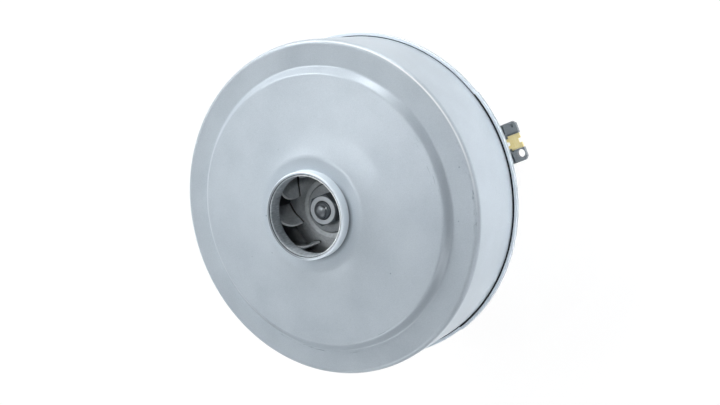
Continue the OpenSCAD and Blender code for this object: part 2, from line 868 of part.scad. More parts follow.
module impeller_blades() {
    color("#9BA1A6") intersection() {
        translate([0, 0, plate_top_z]) linear_extrude(lead_out_h)
            around(blade_count, blade_start) spiral_blade(blade_join_r, impeller_r - past, sheet_blade_t);
        under_shroud(seat);
    }
}

module impeller_front_shroud() {
    outside = inset(shroud_path, -shroud_t);
    color("#A4AAAF") lathe(rounded(concat(shroud_path, backwards(outside))));
}

module impeller_back_plate() {
    color("#A4AAAF") ring(shaft_d / 2 + seat, impeller_r, plate_z, plate_t);
}

module impeller_washer() {
    color("#8D9297") ring(thread_d / 2 + loose, washer_d / 2, hub_top_z, washer_t);
}

// Nut: a hexagon whose corners are turned off to a round face
module impeller_nut() {
    across_corners = nut_af / cos(30);
    bevel = (across_corners - nut_af) / 2 + nut_face_inset;
    color("#C9CED2") difference() {
        intersection() {
            translate([0, 0, washer_top_z]) cylinder(d = across_corners, h = nut_h, $fn = 6);
            lathe([
                [0, washer_top_z],
                [across_corners / 2 + past, washer_top_z],
                [across_corners / 2 + past, nut_top_z - bevel * tan(30) - past * tan(30)],
                [across_corners / 2 - bevel, nut_top_z],
                [0, nut_top_z]
            ]);
        }
        translate([0, 0, washer_top_z - past]) cylinder(r = thread_d / 2 + seat, h = nut_h + 2 * past);
    }
}

module impeller_spacer() {
    color("#A9AEB2")
        ring(shaft_d / 2 + seat, spacer_d / 2, front_bearing_top_z, plate_z - front_bearing_top_z);
}

// Diffuser: a plastic disc with vanes round the impeller and return vanes to the bracket below
vane_wrap = 200;
return_wrap = -60;
return_start = 42;
module vane(r_in, r_out, t, wrap) {
    radii = [for (k = [0:blade_steps]) r_in * pow(r_out / r_in, k / blade_steps)];
    angle = [for (r = radii) wrap * ln(r / r_in)];
    polygon(concat(
        [for (k = [0:blade_steps]) spiral_point(radii[k], 1, t, angle[k], -wrap)],
        [for (k = [blade_steps:-1:0]) spiral_point(radii[k], -1, t, angle[k], -wrap)]
    ));
}

module diffuser() {
    vane_in_r = impeller_r + vane_gap;
    vane_out_r = cover_in_r - corner_round;
    vane_top_z = ring_z - cover_t - seat;
    color("#3E4246") {
        ring(spacer_d / 2 + diffuser_gap, disc_r, disc_z, diffuser_t);
        translate([0, 0, disc_z]) linear_extrude(vane_top_z - disc_z)
            around(vane_count) vane(vane_in_r, vane_out_r - diffuser_t, diffuser_t, vane_wrap);
        translate([0, 0, face_z]) linear_extrude(disc_z + diffuser_t / 2 - face_z)
            around(return_count, return_start)
                vane(return_in_d / 2, disc_r - diffuser_t, diffuser_t, return_wrap);
    }
}

// Stator: a stack of laminations with one pole on each side, along Y
module pole_shoes() {
    reach = 2 * shoe_r;
    for (turn = [0, 180])
        rotate(turn) intersection() {
            circle(shoe_r);
            polygon([
                [0, 0],
                reach * [sin(shoe_angle), cos(shoe_angle)],
                [0, 2 * reach],
                reach * [-sin(shoe_angle), cos(shoe_angle)]
            ]);
        }
}

module stator_core() {
    color("#7D8287") translate([0, 0, core_z]) linear_extrude(core_h) difference() {
        circle(core_r);
        difference() {
            circle(slot_r);
            square([pole_w, 2 * core_r], center = true);
            pole_shoes();
        }
        circle(bore_r);
    }
}

// Upright frame with round corners, centred on the core, from one depth to another along Y
module frame_shape(half_x, half_z, r) {
    polygon(rounded([
        [half_x, half_z, r],
        [-half_x, half_z, r],
        [-half_x, -half_z, r],
        [half_x, -half_z, r]
    ]));
}

module upright(y, h) {
    translate([0, y + h, core_mid_z]) rotate([90, 0, 0]) linear_extrude(h) children();
}

// Coil former: a moulded frame round the pole's neck, with two flanges and two lugs for the wire's ends
module coil_former() {
    reach_x = former_x + flange_reach;
    reach_z = former_z + flange_reach;
    lug_deep = former_t + play + wire_d + lug_w / 2;
    color("#D9D2BE") difference() {
        union() {
            upright(former_y, former_h) frame_shape(former_x, former_z, coil_in_round);
            for (y = [former_y, former_y + former_h - former_t])
                upright(y, former_t) frame_shape(reach_x, reach_z, coil_in_round + flange_reach);
            for (end = [0, 1]) {
                x = (end == 0 ? loop_x : -loop_x) - wire_r - lug_w / 2;
                far_y = former_y + former_h;
                translate([x, end == 0 ? former_y : far_y - lug_deep, core_mid_z - reach_z - lug_h])
                    cube([wire_d + lug_w, lug_deep, lug_h]);
                translate([x, end == 0 ? former_y : far_y - former_t, core_mid_z - reach_z - lug_h])
                    cube([wire_d + lug_w, former_t, reach_z / 2]);
            }
        }
        upright(former_y - past, former_h + 2 * past) frame_shape(former_in_x, former_in_z, 0);
    }
}

// The outer layer's path: up one side from a lug, round and round, and down the other side to a lug
corner_steps = 5;
loop_round = coil_in_round + coil_core_w + wire_lift + wire_r;
lug_top_z = -former_z - flange_reach;
function loop_point(k) =
    let (
        quarter = floor(k / (corner_steps + 1)) % 4,
        step = k % (corner_steps + 1),
        sx = [1, -1, -1, 1][quarter],
        sz = [1, 1, -1, -1][quarter],
        a = 90 * quarter + 90 * step / corner_steps
    )
    [sx * (loop_x - loop_round) + loop_round * cos(a), sz * (loop_z - loop_round) + loop_round * sin(a), a];

loop_length = 4 * (corner_steps + 1);
wound_points = coil_turns * loop_length + 2 * (corner_steps + 1);
function wound_y(k) = coil_y + wire_r + wire_pitch * k / loop_length;
wound_ends = [
    [loop_x, wound_y(0), lug_top_z],
    [loop_x, wound_y(0), lug_top_z + wire_d],
    [-loop_x, wound_y(wound_points - 1), lug_top_z + wire_d],
    [-loop_x, wound_y(wound_points - 1), lug_top_z]
];
wound_path = concat(
    [wound_ends[0], wound_ends[1]],
    [for (k = [0:wound_points - 1]) let (p = loop_point(k)) [p[0], wound_y(k), p[1]]],
    [wound_ends[2], wound_ends[3]]
);
wound_normals = concat(
    [[1, 0, 0], [1, 0, 0]],
    [for (k = [0:wound_points - 1]) let (a = loop_point(k)[2]) [cos(a), 0, sin(a)]],
    [[-1, 0, 0], [-1, 0, 0]]
);
echo(coil_least_gap = least_gap(wound_path, loop_length / 2, wire_d));

// Field coil: inner layers as one block, with the outer layer of enamelled wire wound over it
module field_coil() {
    color("#B5652F") {
        upright(coil_y, coil_h) difference() {
            frame_shape(coil_x + coil_core_w, coil_z + coil_core_w, coil_in_round + coil_core_w);
            frame_shape(coil_x, coil_z, coil_in_round);
        }
        translate([0, 0, core_mid_z]) swept_tube(wound_path, wound_normals, wire_r);
    }
}

// Armature: laminated core with round slots, end insulation, and the winding in and beyond the slots
module armature_profile() {
    difference() {
        circle(armature_d / 2);
        circle(shaft_body_d / 2 + seat);
        around(slot_count) {
            translate([slot_pitch_r, 0]) circle(slot_d / 2);
            translate([slot_pitch_r, -slot_mouth_w / 2]) square([armature_d / 2, slot_mouth_w]);
        }
    }
}

module armature_core() {
    color("#8A8F94") translate([0, 0, core_z]) linear_extrude(core_h) armature_profile();
}

module armature_insulators() {
    color("#7A2E28") for (z = [core_z - insulation_t, core_top_z])
        translate([0, 0, z]) linear_extrude(insulation_t) armature_profile();
}

module end_turns(z, h) {
    lathe(rounded([
        [turns_in_r, z, turns_round],
        [turns_r, z, turns_round],
        [turns_r, z + h, turns_round],
        [turns_in_r, z + h, turns_round]
    ]));
}

module armature_winding() {
    fill_z = rear_turns_z + rear_turns_h / 2;
    color("#A8552A") {
        end_turns(rear_turns_z, rear_turns_h);
        end_turns(front_turns_z, front_turns_h);
        around(slot_count) translate([slot_pitch_r, 0, fill_z])
            cylinder(r = slot_d / 2 - slot_play, h = front_turns_z + front_turns_h / 2 - fill_z);
    }
}

// Commutator: copper bars with a riser each, on a moulded hub
module commutator_hub() {
    color("#4A2A1E") ring(shaft_body_d / 2 + seat, bar_in_r - seat, commutator_z, commutator_h);
}

module commutator_bars() {
    bar_z = commutator_z + bar_inset;
    top_z = commutator_z + commutator_h;
    color("#B87333") around(bar_count) rotate([0, 0, -bar_angle / 2]) lathe([
        [bar_in_r, bar_z],
        [track_r, bar_z],
        [track_r, top_z - riser_h],
        [riser_r, top_z - riser_h],
        [riser_r, top_z],
        [bar_in_r, top_z]
    ], bar_angle);
}

// Brush holder: a moulded block through the housing's wall, with screw wings and a forked plate outside
module fork_outline() {
    c = fork_chamfer;
    half = holder_w / 2;
    difference() {
        polygon([
            [tube_end_x - past, -half],
            [holder_tip_x - c, -half],
            [holder_tip_x, -half + c],
            [holder_tip_x, half - c],
            [holder_tip_x - c, half],
            [tube_end_x - past, half]
        ]);
        translate([tube_end_x, -neck_gap_w / 2]) square([holder_tip_x, neck_gap_w]);
        translate([neck_end_x - running, -fork_gap_w / 2]) square([holder_tip_x, fork_gap_w]);
        translate([fork_hole_x, fork_hole_y]) circle(fork_hole_r);
    }
}

module brush_holder() {
    block_z = brush_z - holder_h / 2;
    color("#2B2E31") difference() {
        union() {
            translate([holder_in_x, -holder_w / 2, block_z])
                cube([tube_end_x - holder_in_x, holder_w, holder_h]);
            difference() {
                translate([housing_r - wing_root, -holder_w / 2 - wing_w, brush_z - wing_h / 2])
                    cube([wing_t + wing_root, holder_w + 2 * wing_w, wing_h]);
                translate([0, 0, block_z - past]) cylinder(r = housing_r + seat, h = holder_h + 2 * past);
                translate([tube_end_x, -fork_gap_w / 2, block_z])
                    cube([wing_x, fork_gap_w, holder_h]);
            }
            translate([0, 0, fork_z]) linear_extrude(fork_t) fork_outline();
        }
        translate([holder_in_x - past, -tube_w / 2 - seat, brush_z - tube_h / 2 - seat])
            cube([tube_end_x + seat + past - holder_in_x, tube_w + 2 * seat, tube_h + 2 * seat]);
        translate([terminal_in_x - loose, -fork_gap_w / 2, terminal_z - running])
            cube([holder_tip_x, fork_gap_w, holder_h]);
        for (side = [-1, 1])
            translate([fork_groove_x,
                       side * (fork_gap_w / 2 + fork_groove_wall + holder_w / 2) - holder_w / 2,
                       holder_top_z - fork_groove_depth])
                cube([fork_groove_w, holder_w, holder_h]);
        translate([ear_root_x, -holder_w / 2 - past, fork_z - past])
            cube([holder_tip_x, holder_w + 2 * past, fork_t - ear_t + past]);
        for (pocket = [[1, holder_tip_x], [-1, fork_hole_x - fork_hole_r]])
            translate([neck_end_x, pocket[0] * (fork_gap_w + side_pocket_w) / 2 - side_pocket_w / 2,
                       holder_top_z - side_pocket_depth])
                cube([pocket[1] - side_pocket_wall - neck_end_x, side_pocket_w, holder_h]);
        translate([holder_tip_x - latch_pocket_inset[0], holder_w / 2 - latch_pocket_inset[1], holder_top_z])
            cube(latch_pocket, center = true);
        for (y = [-holder_screw_y, holder_screw_y])
            translate([0, y, brush_z]) rotate([0, 90, 0])
                cylinder(r = holder_screw_r + loose / 2, h = holder_tip_x);
    }
}

module holder_screws() {
    color("#C7CACC") for (side = [0, 180], y = [-holder_screw_y, holder_screw_y])
        rotate([0, 0, side]) translate([0, y, brush_z]) rotate([0, 90, 0]) {
            translate([0, 0, wing_x]) cylinder(r = holder_screw_head_r, h = holder_screw_head_h);
            translate([0, 0, holder_screw_tip_x])
                cylinder(r = holder_screw_r, h = wing_x + past - holder_screw_tip_x);
        }
}

// Brush tube: folded brass, open towards the commutator and closed behind the spring
module brush_tube() {
    color("#C9A95B") difference() {
        translate([tube_in_x, -tube_w / 2, brush_z - tube_h / 2])
            cube([tube_end_x - tube_in_x, tube_w, tube_h]);
        translate([tube_in_x - past, -tube_in_w / 2, brush_z - tube_in_h / 2])
            cube([tube_end_x - tube_t - tube_in_x + past, tube_in_w, tube_in_h]);
    }
}

// Carbon brush, ground hollow to the commutator's track
module carbon_brush() {
    color("#303234") difference() {
        translate([0, -brush_w / 2, brush_z - brush_h / 2]) cube([brush_end_x, brush_w, brush_h]);
        translate([0, 0, brush_z - brush_h / 2 - past])
            cylinder(r = track_r + running, h = brush_h + 2 * past);
    }
}

// Brush spring: its ends run straight to the brush and to the tube's closed end
spring_lead = 2 * spring_wire_d;
spring_points = spring_turns * spring_steps;
function spring_angle(k) = 360 * k / spring_steps;
function spring_at(k, x) = [x, spring_r * cos(spring_angle(k)), spring_r * sin(spring_angle(k))];
function spring_coil_x(k) =
    spring_x0 + spring_lead + (spring_x1 - spring_x0 - 2 * spring_lead) * k / spring_points;
spring_path = concat(
    [spring_at(0, spring_x0), spring_at(0, spring_x0 + spring_wire_d)],
    [for (k = [0:spring_points]) spring_at(k, spring_coil_x(k))],
    [spring_at(spring_points, spring_x1 - spring_wire_d), spring_at(spring_points, spring_x1)]
);
spring_normals = concat(
    [for (e = [0, 1]) [0, 1, 0]],
    [for (k = [0:spring_points]) [0, cos(spring_angle(k)), sin(spring_angle(k))]],
    [for (e = [0, 1]) [0, cos(spring_angle(spring_points)), sin(spring_angle(spring_points))]]
);
echo(spring_least_gap = least_gap(spring_path, spring_steps / 2 + 2, spring_wire_d));

module brush_spring() {
    color("#9A9DA0") translate([0, 0, brush_z]) swept_tube(spring_path, spring_normals, spring_wire_r);
}

// Brush lead: flexible copper braid inside the spring
module brush_lead() {
    color("#B87333") translate([brush_end_x, 0, brush_z]) rotate([0, 90, 0])
        cylinder(r = lead_r, h = spring_x1 - brush_end_x);
}

// Brush terminal: a brass plate with a wire notch, on two narrower arms that lie on the tube
module brush_terminal() {
    half = terminal_w / 2;
    neck = neck_w / 2;
    color("#D8C889") translate([0, 0, terminal_z]) linear_extrude(terminal_t) difference() {
        union() {
            translate([neck_end_x, -half]) square([terminal_plate_l, terminal_w]);
            translate([terminal_in_x, -neck]) square([neck_end_x + past - terminal_in_x, neck_w]);
        }
        polygon([
            [neck_end_x, vee_end_w / 2],
            [neck_end_x - vee_l, neck - arm_w],
            [terminal_in_x - past, neck - arm_w],
            [terminal_in_x - past, -neck + arm_w],
            [neck_end_x - vee_l, -neck + arm_w],
            [neck_end_x, -vee_end_w / 2]
        ]);
        translate([terminal_end_x - notch_l, -notch_w / 2]) square([2 * notch_l, notch_w]);
    }
}

// Field lead: an insulated wire that arches from a coil former's lug to the arm of a brush terminal
field_lead_r = 0.7;
field_lead_arch = 1;
field_lead_step_count = 6;
field_lead_seat = 2;
field_lead_from = [
    loop_x + wire_r + lug_w / 2,
    former_y + former_t,
    core_mid_z - former_z - flange_reach - lug_h / 2
];
field_lead_to = [terminal_in_x + field_lead_seat, (neck_w - arm_w) / 2, terminal_z + terminal_t];
field_lead_run = [field_lead_from + [2 * field_lead_r, 0, 0], field_lead_to + [0, 0, 2 * field_lead_r]];
field_lead_route = concat(
    [field_lead_from],
    [for (k = [0:field_lead_step_count]) let (t = k / field_lead_step_count)
        field_lead_run[0] * (1 - t) + field_lead_run[1] * t + [0, 0, field_lead_arch * sin(180 * t)]],
    [field_lead_to]
);

module field_lead() {
    color("#2E5E9E") swept_tube(field_lead_route, [for (p = field_lead_route) unit([1, 1, 0])], field_lead_r);
}

fan_cover();
inlet_seal_ring();
inducer();
impeller_front_shroud();
impeller_blades();
impeller_back_plate();
impeller_washer();
impeller_nut();
impeller_spacer();
shaft();
diffuser();
front_bracket();
motor_housing();
flange_screws();
bearing_outer_ring(front_bearing_z);  // front_bearing_outer_ring
bearing_inner_ring(front_bearing_z);  // front_bearing_inner_ring
bearing_balls(front_bearing_z);  // front_bearing_balls
bearing_cage(front_bearing_z);  // front_bearing_cage
bearing_shields(front_bearing_z);  // front_bearing_shields
bearing_outer_ring(rear_bearing_z);  // rear_bearing_outer_ring
bearing_inner_ring(rear_bearing_z);  // rear_bearing_inner_ring
bearing_balls(rear_bearing_z);  // rear_bearing_balls
bearing_cage(rear_bearing_z);  // rear_bearing_cage
bearing_shields(rear_bearing_z);  // rear_bearing_shields
wave_washer();
stator_core();
coil_former();  // coil_former_upper
left_side() coil_former();  // coil_former_lower
field_coil();  // field_coil_upper
left_side() field_coil();  // field_coil_lower
armature_core();
armature_insulators();
armature_winding();
commutator_hub();
commutator_bars();
brush_holder();  // brush_holder_right
left_side() brush_holder();  // brush_holder_left
holder_screws();
brush_tube();  // brush_tube_right
left_side() brush_tube();  // brush_tube_left
carbon_brush();  // carbon_brush_right
left_side() carbon_brush();  // carbon_brush_left
brush_spring();  // brush_spring_right
left_side() brush_spring();  // brush_spring_left
brush_lead();  // brush_lead_right
left_side() brush_lead();  // brush_lead_left
brush_terminal();  // brush_terminal_right
left_side() brush_terminal();  // brush_terminal_left
field_lead();  // field_lead_right
left_side() field_lead();  // field_lead_left
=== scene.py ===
from bisect import bisect_right
from math import asin, cos, degrees, exp, log, pi, radians, sin, sqrt, tan

import bmesh
import bpy
from mathutils import Matrix, Vector


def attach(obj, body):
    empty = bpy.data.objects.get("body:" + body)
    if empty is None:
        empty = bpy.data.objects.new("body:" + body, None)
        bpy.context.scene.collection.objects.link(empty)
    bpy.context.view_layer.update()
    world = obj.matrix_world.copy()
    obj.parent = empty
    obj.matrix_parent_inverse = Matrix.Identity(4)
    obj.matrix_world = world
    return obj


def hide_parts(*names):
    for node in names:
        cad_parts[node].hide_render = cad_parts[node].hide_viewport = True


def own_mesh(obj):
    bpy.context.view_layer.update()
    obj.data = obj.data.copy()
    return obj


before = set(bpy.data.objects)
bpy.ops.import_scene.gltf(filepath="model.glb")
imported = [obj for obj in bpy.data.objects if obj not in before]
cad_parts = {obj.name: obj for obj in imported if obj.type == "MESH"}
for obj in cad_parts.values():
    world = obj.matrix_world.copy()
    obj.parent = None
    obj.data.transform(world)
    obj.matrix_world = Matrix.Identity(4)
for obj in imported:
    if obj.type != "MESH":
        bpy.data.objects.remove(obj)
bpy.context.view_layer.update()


# Motor housing: a deep-drawn cup of zinc-coated steel sheet, 1.2 mm thick, screwed to the bracket by its
# flange. A boss in its floor holds the rear bearing, and its wall is pierced for air and for the brush
# holders. The coat is a dull silver, and drawing has left faint lines up the wall.
def linear(colour):
    """An sRGB hex colour as linear red, green, blue and alpha."""
    parts = [int(colour[i:i + 2], 16) / 255 for i in (1, 3, 5)]
    return [c / 12.92 if c <= 0.04045 else ((c + 0.055) / 1.055) ** 2.4 for c in parts] + [1]


def add(tree, kind, inputs=None, **settings):
    """One node, with its settings, and its inputs set to a value or linked to another node's output."""
    node = tree.nodes.new(kind)
    for name, value in settings.items():
        setattr(node, name, value)
    for socket, value in (inputs or {}).items():
        if isinstance(value, bpy.types.NodeSocket):
            tree.links.new(value, node.inputs[socket])
        else:
            node.inputs[socket].default_value = value
    return node


def surface(name, dark, light, grain, patch, roughness, metallic, bump, stretch=(1, 1, 1)):
    """A finish with fine grain and broad patches between two colours. Grain, patch and bump are sizes in mm,
    and stretch draws the grain out along an axis. Real grain of these finishes is mostly under 0.2 mm, too
    fine to show, so it is drawn coarser. Returns the material, its tree, its shader and its colour."""
    material = bpy.data.materials.new(name)
    material.use_nodes = True
    tree = material.node_tree
    tree.nodes.clear()
    place = add(tree, "ShaderNodeTexCoord").outputs["Object"]
    drawn = add(tree, "ShaderNodeMapping", {"Vector": place, "Scale": [1 / s for s in stretch]}).outputs[0]
    fine = add(tree, "ShaderNodeTexNoise", {"Vector": drawn, "Scale": 1000 / grain, "Detail": 2.0}).outputs[0]
    broad = add(tree, "ShaderNodeTexNoise",
                {"Vector": place, "Scale": 1000 / patch, "Detail": 3.0}).outputs[0]
    both = add(tree, "ShaderNodeMath", {0: fine, 1: broad}, operation="ADD").outputs[0]
    noise_range = {"Value": both, "From Min": 0.65, "From Max": 1.35}
    share = add(tree, "ShaderNodeMapRange", noise_range).outputs[0]
    colour = add(tree, "ShaderNodeMix", {0: share, 6: linear(dark), 7: linear(light)},
                 data_type="RGBA").outputs[2]
    rough = add(tree, "ShaderNodeMapRange",
                {**noise_range, "To Min": roughness * 0.88, "To Max": roughness * 1.12}).outputs[0]
    relief = add(tree, "ShaderNodeBump",
                 {"Height": fine, "Strength": 1.0, "Distance": bump * 0.001}).outputs[0]
    shader = add(tree, "ShaderNodeBsdfPrincipled",
                 {"Base Color": colour, "Metallic": metallic, "Roughness": rough, "Normal": relief})
    add(tree, "ShaderNodeOutputMaterial", {"Surface": shader.outputs[0]})
    return material, tree, shader, colour


def rounded(corners, closed=True, degrees_each=6):
    """A path through corners (across, along, radius) in mm, with each corner turned to an arc. A short
    straight is kept beside each arc, so that the flats stay flat when they are shaded."""
    path = []
    last = len(corners) - 1
    steps = max(3, round(90 / degrees_each))
    beside = 1.06
    for i, (x, y, r) in enumerate(corners):
        b = Vector((x, y))
        if r == 0 or (not closed and i in (0, last)):
            path.append(b)
            continue
        u = (Vector(corners[i - 1][:2]) - b).normalized()
        w = (Vector(corners[(i + 1) % len(corners)][:2]) - b).normalized()
        half = u.angle(w) / 2
        centre = b + (u + w).normalized() * (r / sin(half))
        start = b + u * (r / tan(half)) - centre
        sweep = pi - 2 * half
        side = 1 if u.x * w.y - u.y * w.x < 0 else -1
        path.append(b + u * (r / tan(half) * beside))
        for k in range(steps + 1):
            a = side * sweep * k / steps
            turned = Vector((start.x * cos(a) - start.y * sin(a), start.x * sin(a) + start.y * cos(a)))
            path.append(centre + turned)
        path.append(b + w * (r / tan(half) * beside))
    return path


def pressed_sheet(outside, inside, holes=(), seam=37.0, columns=144, extra=(), push=None):
    """Points and faces of a sheet turned about Z between two paths of as many points, pierced with holes. A
    hole is (angle, half width in degrees, two points on the outside path, corner radius in mm). Columns start
    at the seam's angle, extra adds to them, and push(angle, r) moves a point out."""
    corner_steps, clear_of_holes, least_turn, least_row = 6, 0.4, 0.02, 0.004
    length = [0.0]
    for a, b in zip(outside, outside[1:]):
        length.append(length[-1] + (b - a).length)

    def on(path, s):
        """The point of a path at a length along the outside."""
        i = min(max(bisect_right(length, s) - 1, 0), len(path) - 2)
        return path[i].lerp(path[i + 1], (s - length[i]) / max(length[i + 1] - length[i], 1e-9))

    def reach(point):
        """The length along the outside at which it passes nearest to a point."""
        best = []
        for i, (a, b) in enumerate(zip(outside, outside[1:])):
            t = min(max((Vector(point) - a).dot(b - a) / max((b - a).length_squared, 1e-12), 0), 1)
            best.append(((a.lerp(b, t) - Vector(point)).length, length[i] + t * (b - a).length))
        return min(best)[1]

    def thinned(values, least):
        kept = []
        for v in sorted(values):
            if not kept or v - kept[-1] > least:
                kept.append(v)
        return kept

    def nearest(values, v):
        return min(range(len(values)), key=lambda i: abs(values[i] - v))

    openings = []
    turns = {seam + 360 * k / columns for k in range(columns)} | {(a - seam) % 360 + seam for a in extra}
    rows = set(length)
    for angle, half, low, high, corner in holes:
        s0, s1 = sorted((reach(low), reach(high)))
        turn = degrees(corner / on(outside, (s0 + s1) / 2).x)
        u0 = (angle - half - seam) % 360 + seam
        openings.append((u0, u0 + 2 * half, s0, s1, turn, corner))
        turns |= {u0, u0 + turn, u0 + 2 * half - turn, u0 + 2 * half}
        rows |= {s0, s0 + corner, s1 - corner, s1}
    edges = {v for f in openings for v in (f[0], f[0] + f[4], f[1] - f[4], f[1])}
    turns = {v for v in turns if v in edges or all(abs(v - e) > clear_of_holes for e in edges)}
    turns = thinned(turns, least_turn)
    rows = thinned(rows, least_row)
    across = len(turns)
    spots = [(u, s) for s in rows for u in turns]
    gone, faces = set(), []
    for u0, u1, s0, s1, turn, corner in openings:
        j0, j1, i0, i1 = nearest(turns, u0), nearest(turns, u1), nearest(rows, s0), nearest(rows, s1)
        gone |= {(i, j) for i in range(i0, i1) for j in range(j0, j1)}
        for us, je, du in ((u0 + turn, j0, 1), (u1 - turn, j1, -1)):
            for ss, ie, ds in ((s0 + corner, i0, 1), (s1 - corner, i1, -1)):
                jc, ic = nearest(turns, us), nearest(rows, ss)
                rim = [i * across + je for i in range(ic, ie - ds, -ds)]
                rim += [ie * across + j for j in range(je + du, jc + du, du)]
                for k in range(corner_steps - 1, 0, -1):
                    a = pi / 2 * k / corner_steps
                    spots.append((us - du * turn * cos(a), ss - ds * corner * sin(a)))
                    rim.append(len(spots) - 1)
                faces.append(rim)
    for i in range(len(rows) - 1):
        for j in range(across):
            if (i, j) not in gone:
                k = (j + 1) % across
                faces.append([i * across + j, i * across + k, (i + 1) * across + k, (i + 1) * across + j])
    points = []
    for path in (outside, inside):
        for u, s in spots:
            p = on(path, s)
            r = p.x + (push(u, p.x) if push else 0)
            points.append((r * cos(radians(u)), r * sin(radians(u)), p.y))
    count = len(spots)
    once = {}
    for face in faces:
        for a, b in zip(face, face[1:] + face[:1]):
            key = (min(a, b), max(a, b))
            once[key] = None if key in once else (a, b)
    sides = [[b, a, a + count, b + count] for a, b in filter(None, once.values())]
    back = [[v + count for v in reversed(face)] for face in faces]
    used = sorted({v for face in faces + back + sides for v in face})
    number = {v: k for k, v in enumerate(used)}
    return [points[v] for v in used], [[number[v] for v in face] for face in faces + back + sides]


def in_scene(name, data):
    """A new object in the scene with this mesh, lamp or camera."""
    made = bpy.data.objects.new(name, data)
    bpy.context.scene.collection.objects.link(made)
    return made


def solid(name, points, faces, material, sharp=32):
    """An object from points in mm, closed, with its faces outwards and its edges sharp above an angle."""
    mesh = bpy.data.meshes.new(name)
    mesh.from_pydata([Vector(p) * 0.001 for p in points], [], faces)
    work = bmesh.new()
    work.from_mesh(mesh)
    bmesh.ops.remove_doubles(work, verts=work.verts, dist=1e-6)
    bmesh.ops.recalc_face_normals(work, faces=work.faces)
    work.to_mesh(mesh)
    work.free()
    mesh.shade_smooth()
    mesh.set_sharp_from_angle(angle=radians(sharp))
    mesh.materials.append(material)
    return in_scene(name, mesh)


def stands_for(made, body, node):
    """The object rides on a body and takes a node's place."""
    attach(made, body)
    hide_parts(node)
    return made


housing_r, floor_z, flange_z, screw_circle = 42, 8.8, 69.4, 46.5
housing_outside = rounded(
    [(0, 0, 0), (12.23, 0, 0.8), (12.23, 8.8, 0.5), (17, 8.8, 0), (31, 8.8, 0), (42, 8.8, 4), (42, 31, 0),
     (42, 67, 0), (42, 69.4, 1), (44, 69.4, 0), (50.8, 69.4, 0), (51, 69.6, 0)], False)
housing_inside = rounded(
    [(0, 1.5, 0), (11.03, 1.5, 0.4), (11.03, 10, 0.6), (17, 10, 0), (31, 10, 0), (40.8, 10, 2.8),
     (40.8, 31, 0), (40.8, 67, 0), (40.8, 70.6, 0.3), (44, 70.6, 0), (50.8, 70.6, 0), (51, 70.4, 0)], False)
vents = [(a, degrees(5.5 / housing_r), (housing_r, 13.4), (housing_r, 29.4), 1.6)
         for a in (62, 90, 118, 242, 270, 298)]
floor_windows = [(22.5 + 45 * k, 13, (18.23, floor_z), (29.23, floor_z), 2.0) for k in range(8)]
holder_windows = [(a, degrees(asin(9 / housing_r)), (housing_r, 13.88), (housing_r, 27.52), 0.6)
                  for a in (0, 180)]
screw_holes = [(45 + 90 * k, degrees(2.2 / screw_circle), (44.3, flange_z), (48.7, flange_z), 2.19)
               for k in range(4)]
housing_steel = surface("drawn_zinc_coated_steel", "#A3ABB1", "#C1C8CD", grain=0.5, patch=18,
                        roughness=0.42, metallic=0.55, bump=0.006, stretch=(1, 1, 9))[0]
housing_sheet = pressed_sheet(housing_outside, housing_inside,
                              vents + floor_windows + holder_windows + screw_holes)
housing = solid("housing_cup", *housing_sheet, housing_steel)
stands_for(housing, "casing", "motor_housing")


# Bearings and wave washer: mirror-bright ground rings, with balls in a brass cage between two satin pressed
# shields. The washer, of dark spring steel, lies on the boss's floor and pushes the rear bearing's outer ring
# towards the fan.
polished_steel = surface("ground_bearing_steel", "#B4B8BC", "#C9CDD0", grain=0.4, patch=6,
                         roughness=0.18, metallic=1.0, bump=0.002)[0]
cage_brass = surface("pressed_brass", "#B08A4C", "#C9A566", grain=0.4, patch=4,
                     roughness=0.34, metallic=1.0, bump=0.01)[0]
shield_steel = surface("pressed_steel_shield", "#93999E", "#ABB1B5", grain=0.3, patch=5,
                       roughness=0.36, metallic=1.0, bump=0.01)[0]
spring_steel = surface("hardened_spring_steel", "#6F757A", "#8B9196", grain=0.3, patch=5,
                       roughness=0.32, metallic=1.0, bump=0.006)[0]


def dress(material, *nodes):
    """A CAD node keeps its shape and gets a finish."""
    for node in nodes:
        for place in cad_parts[node].material_slots:
            place.material = material


for end in ("rear", "front"):
    dress(polished_steel, end + "_bearing_outer_ring", end + "_bearing_inner_ring", end + "_bearing_balls")
    dress(cage_brass, end + "_bearing_cage")
    dress(shield_steel, end + "_bearing_shields")
dress(spring_steel, "wave_washer")


# Stator and armature cores: stacks of blanked electrical steel sheets, 0.5 mm each, under a thin clear
# varnish. The joints between the sheets show as fine dark lines, and the armature's outside is turned
# brighter.
sheet_t = 0.5


def laminated(name, dark, light):
    """Steel with a dark line at each sheet's edge. A wave's bands lie 2 pi / 20 apart at a scale of 1."""
    material, tree, shader, colour = surface(name, dark, light, grain=0.6, patch=9,
                                             roughness=0.45, metallic=0.8, bump=0.01)
    place = add(tree, "ShaderNodeTexCoord").outputs["Object"]
    sheets = add(tree, "ShaderNodeTexWave",
                 {"Vector": place, "Scale": 2 * pi / 20 / (sheet_t * 0.001), "Distortion": 0.0},
                 bands_direction="Z", wave_profile="SIN").outputs["Fac"]
    sheets = add(tree, "ShaderNodeMapRange", {"Value": sheets, "From Min": 0.0, "From Max": 0.4}).outputs[0]
    lines = add(tree, "ShaderNodeMix", {0: sheets, 6: linear("#3A3E42"), 7: colour},
                data_type="RGBA").outputs[2]
    relief = add(tree, "ShaderNodeBump", {"Height": sheets, "Distance": 0.00008}).outputs[0]
    tree.links.new(lines, shader.inputs["Base Color"])
    tree.links.new(relief, shader.inputs["Normal"])
    return material


dress(laminated("varnished_stator_sheets", "#70767B", "#8E9499"), "stator_core")
dress(laminated("turned_armature_sheets", "#858B90", "#A2A8AC"), "armature_core")


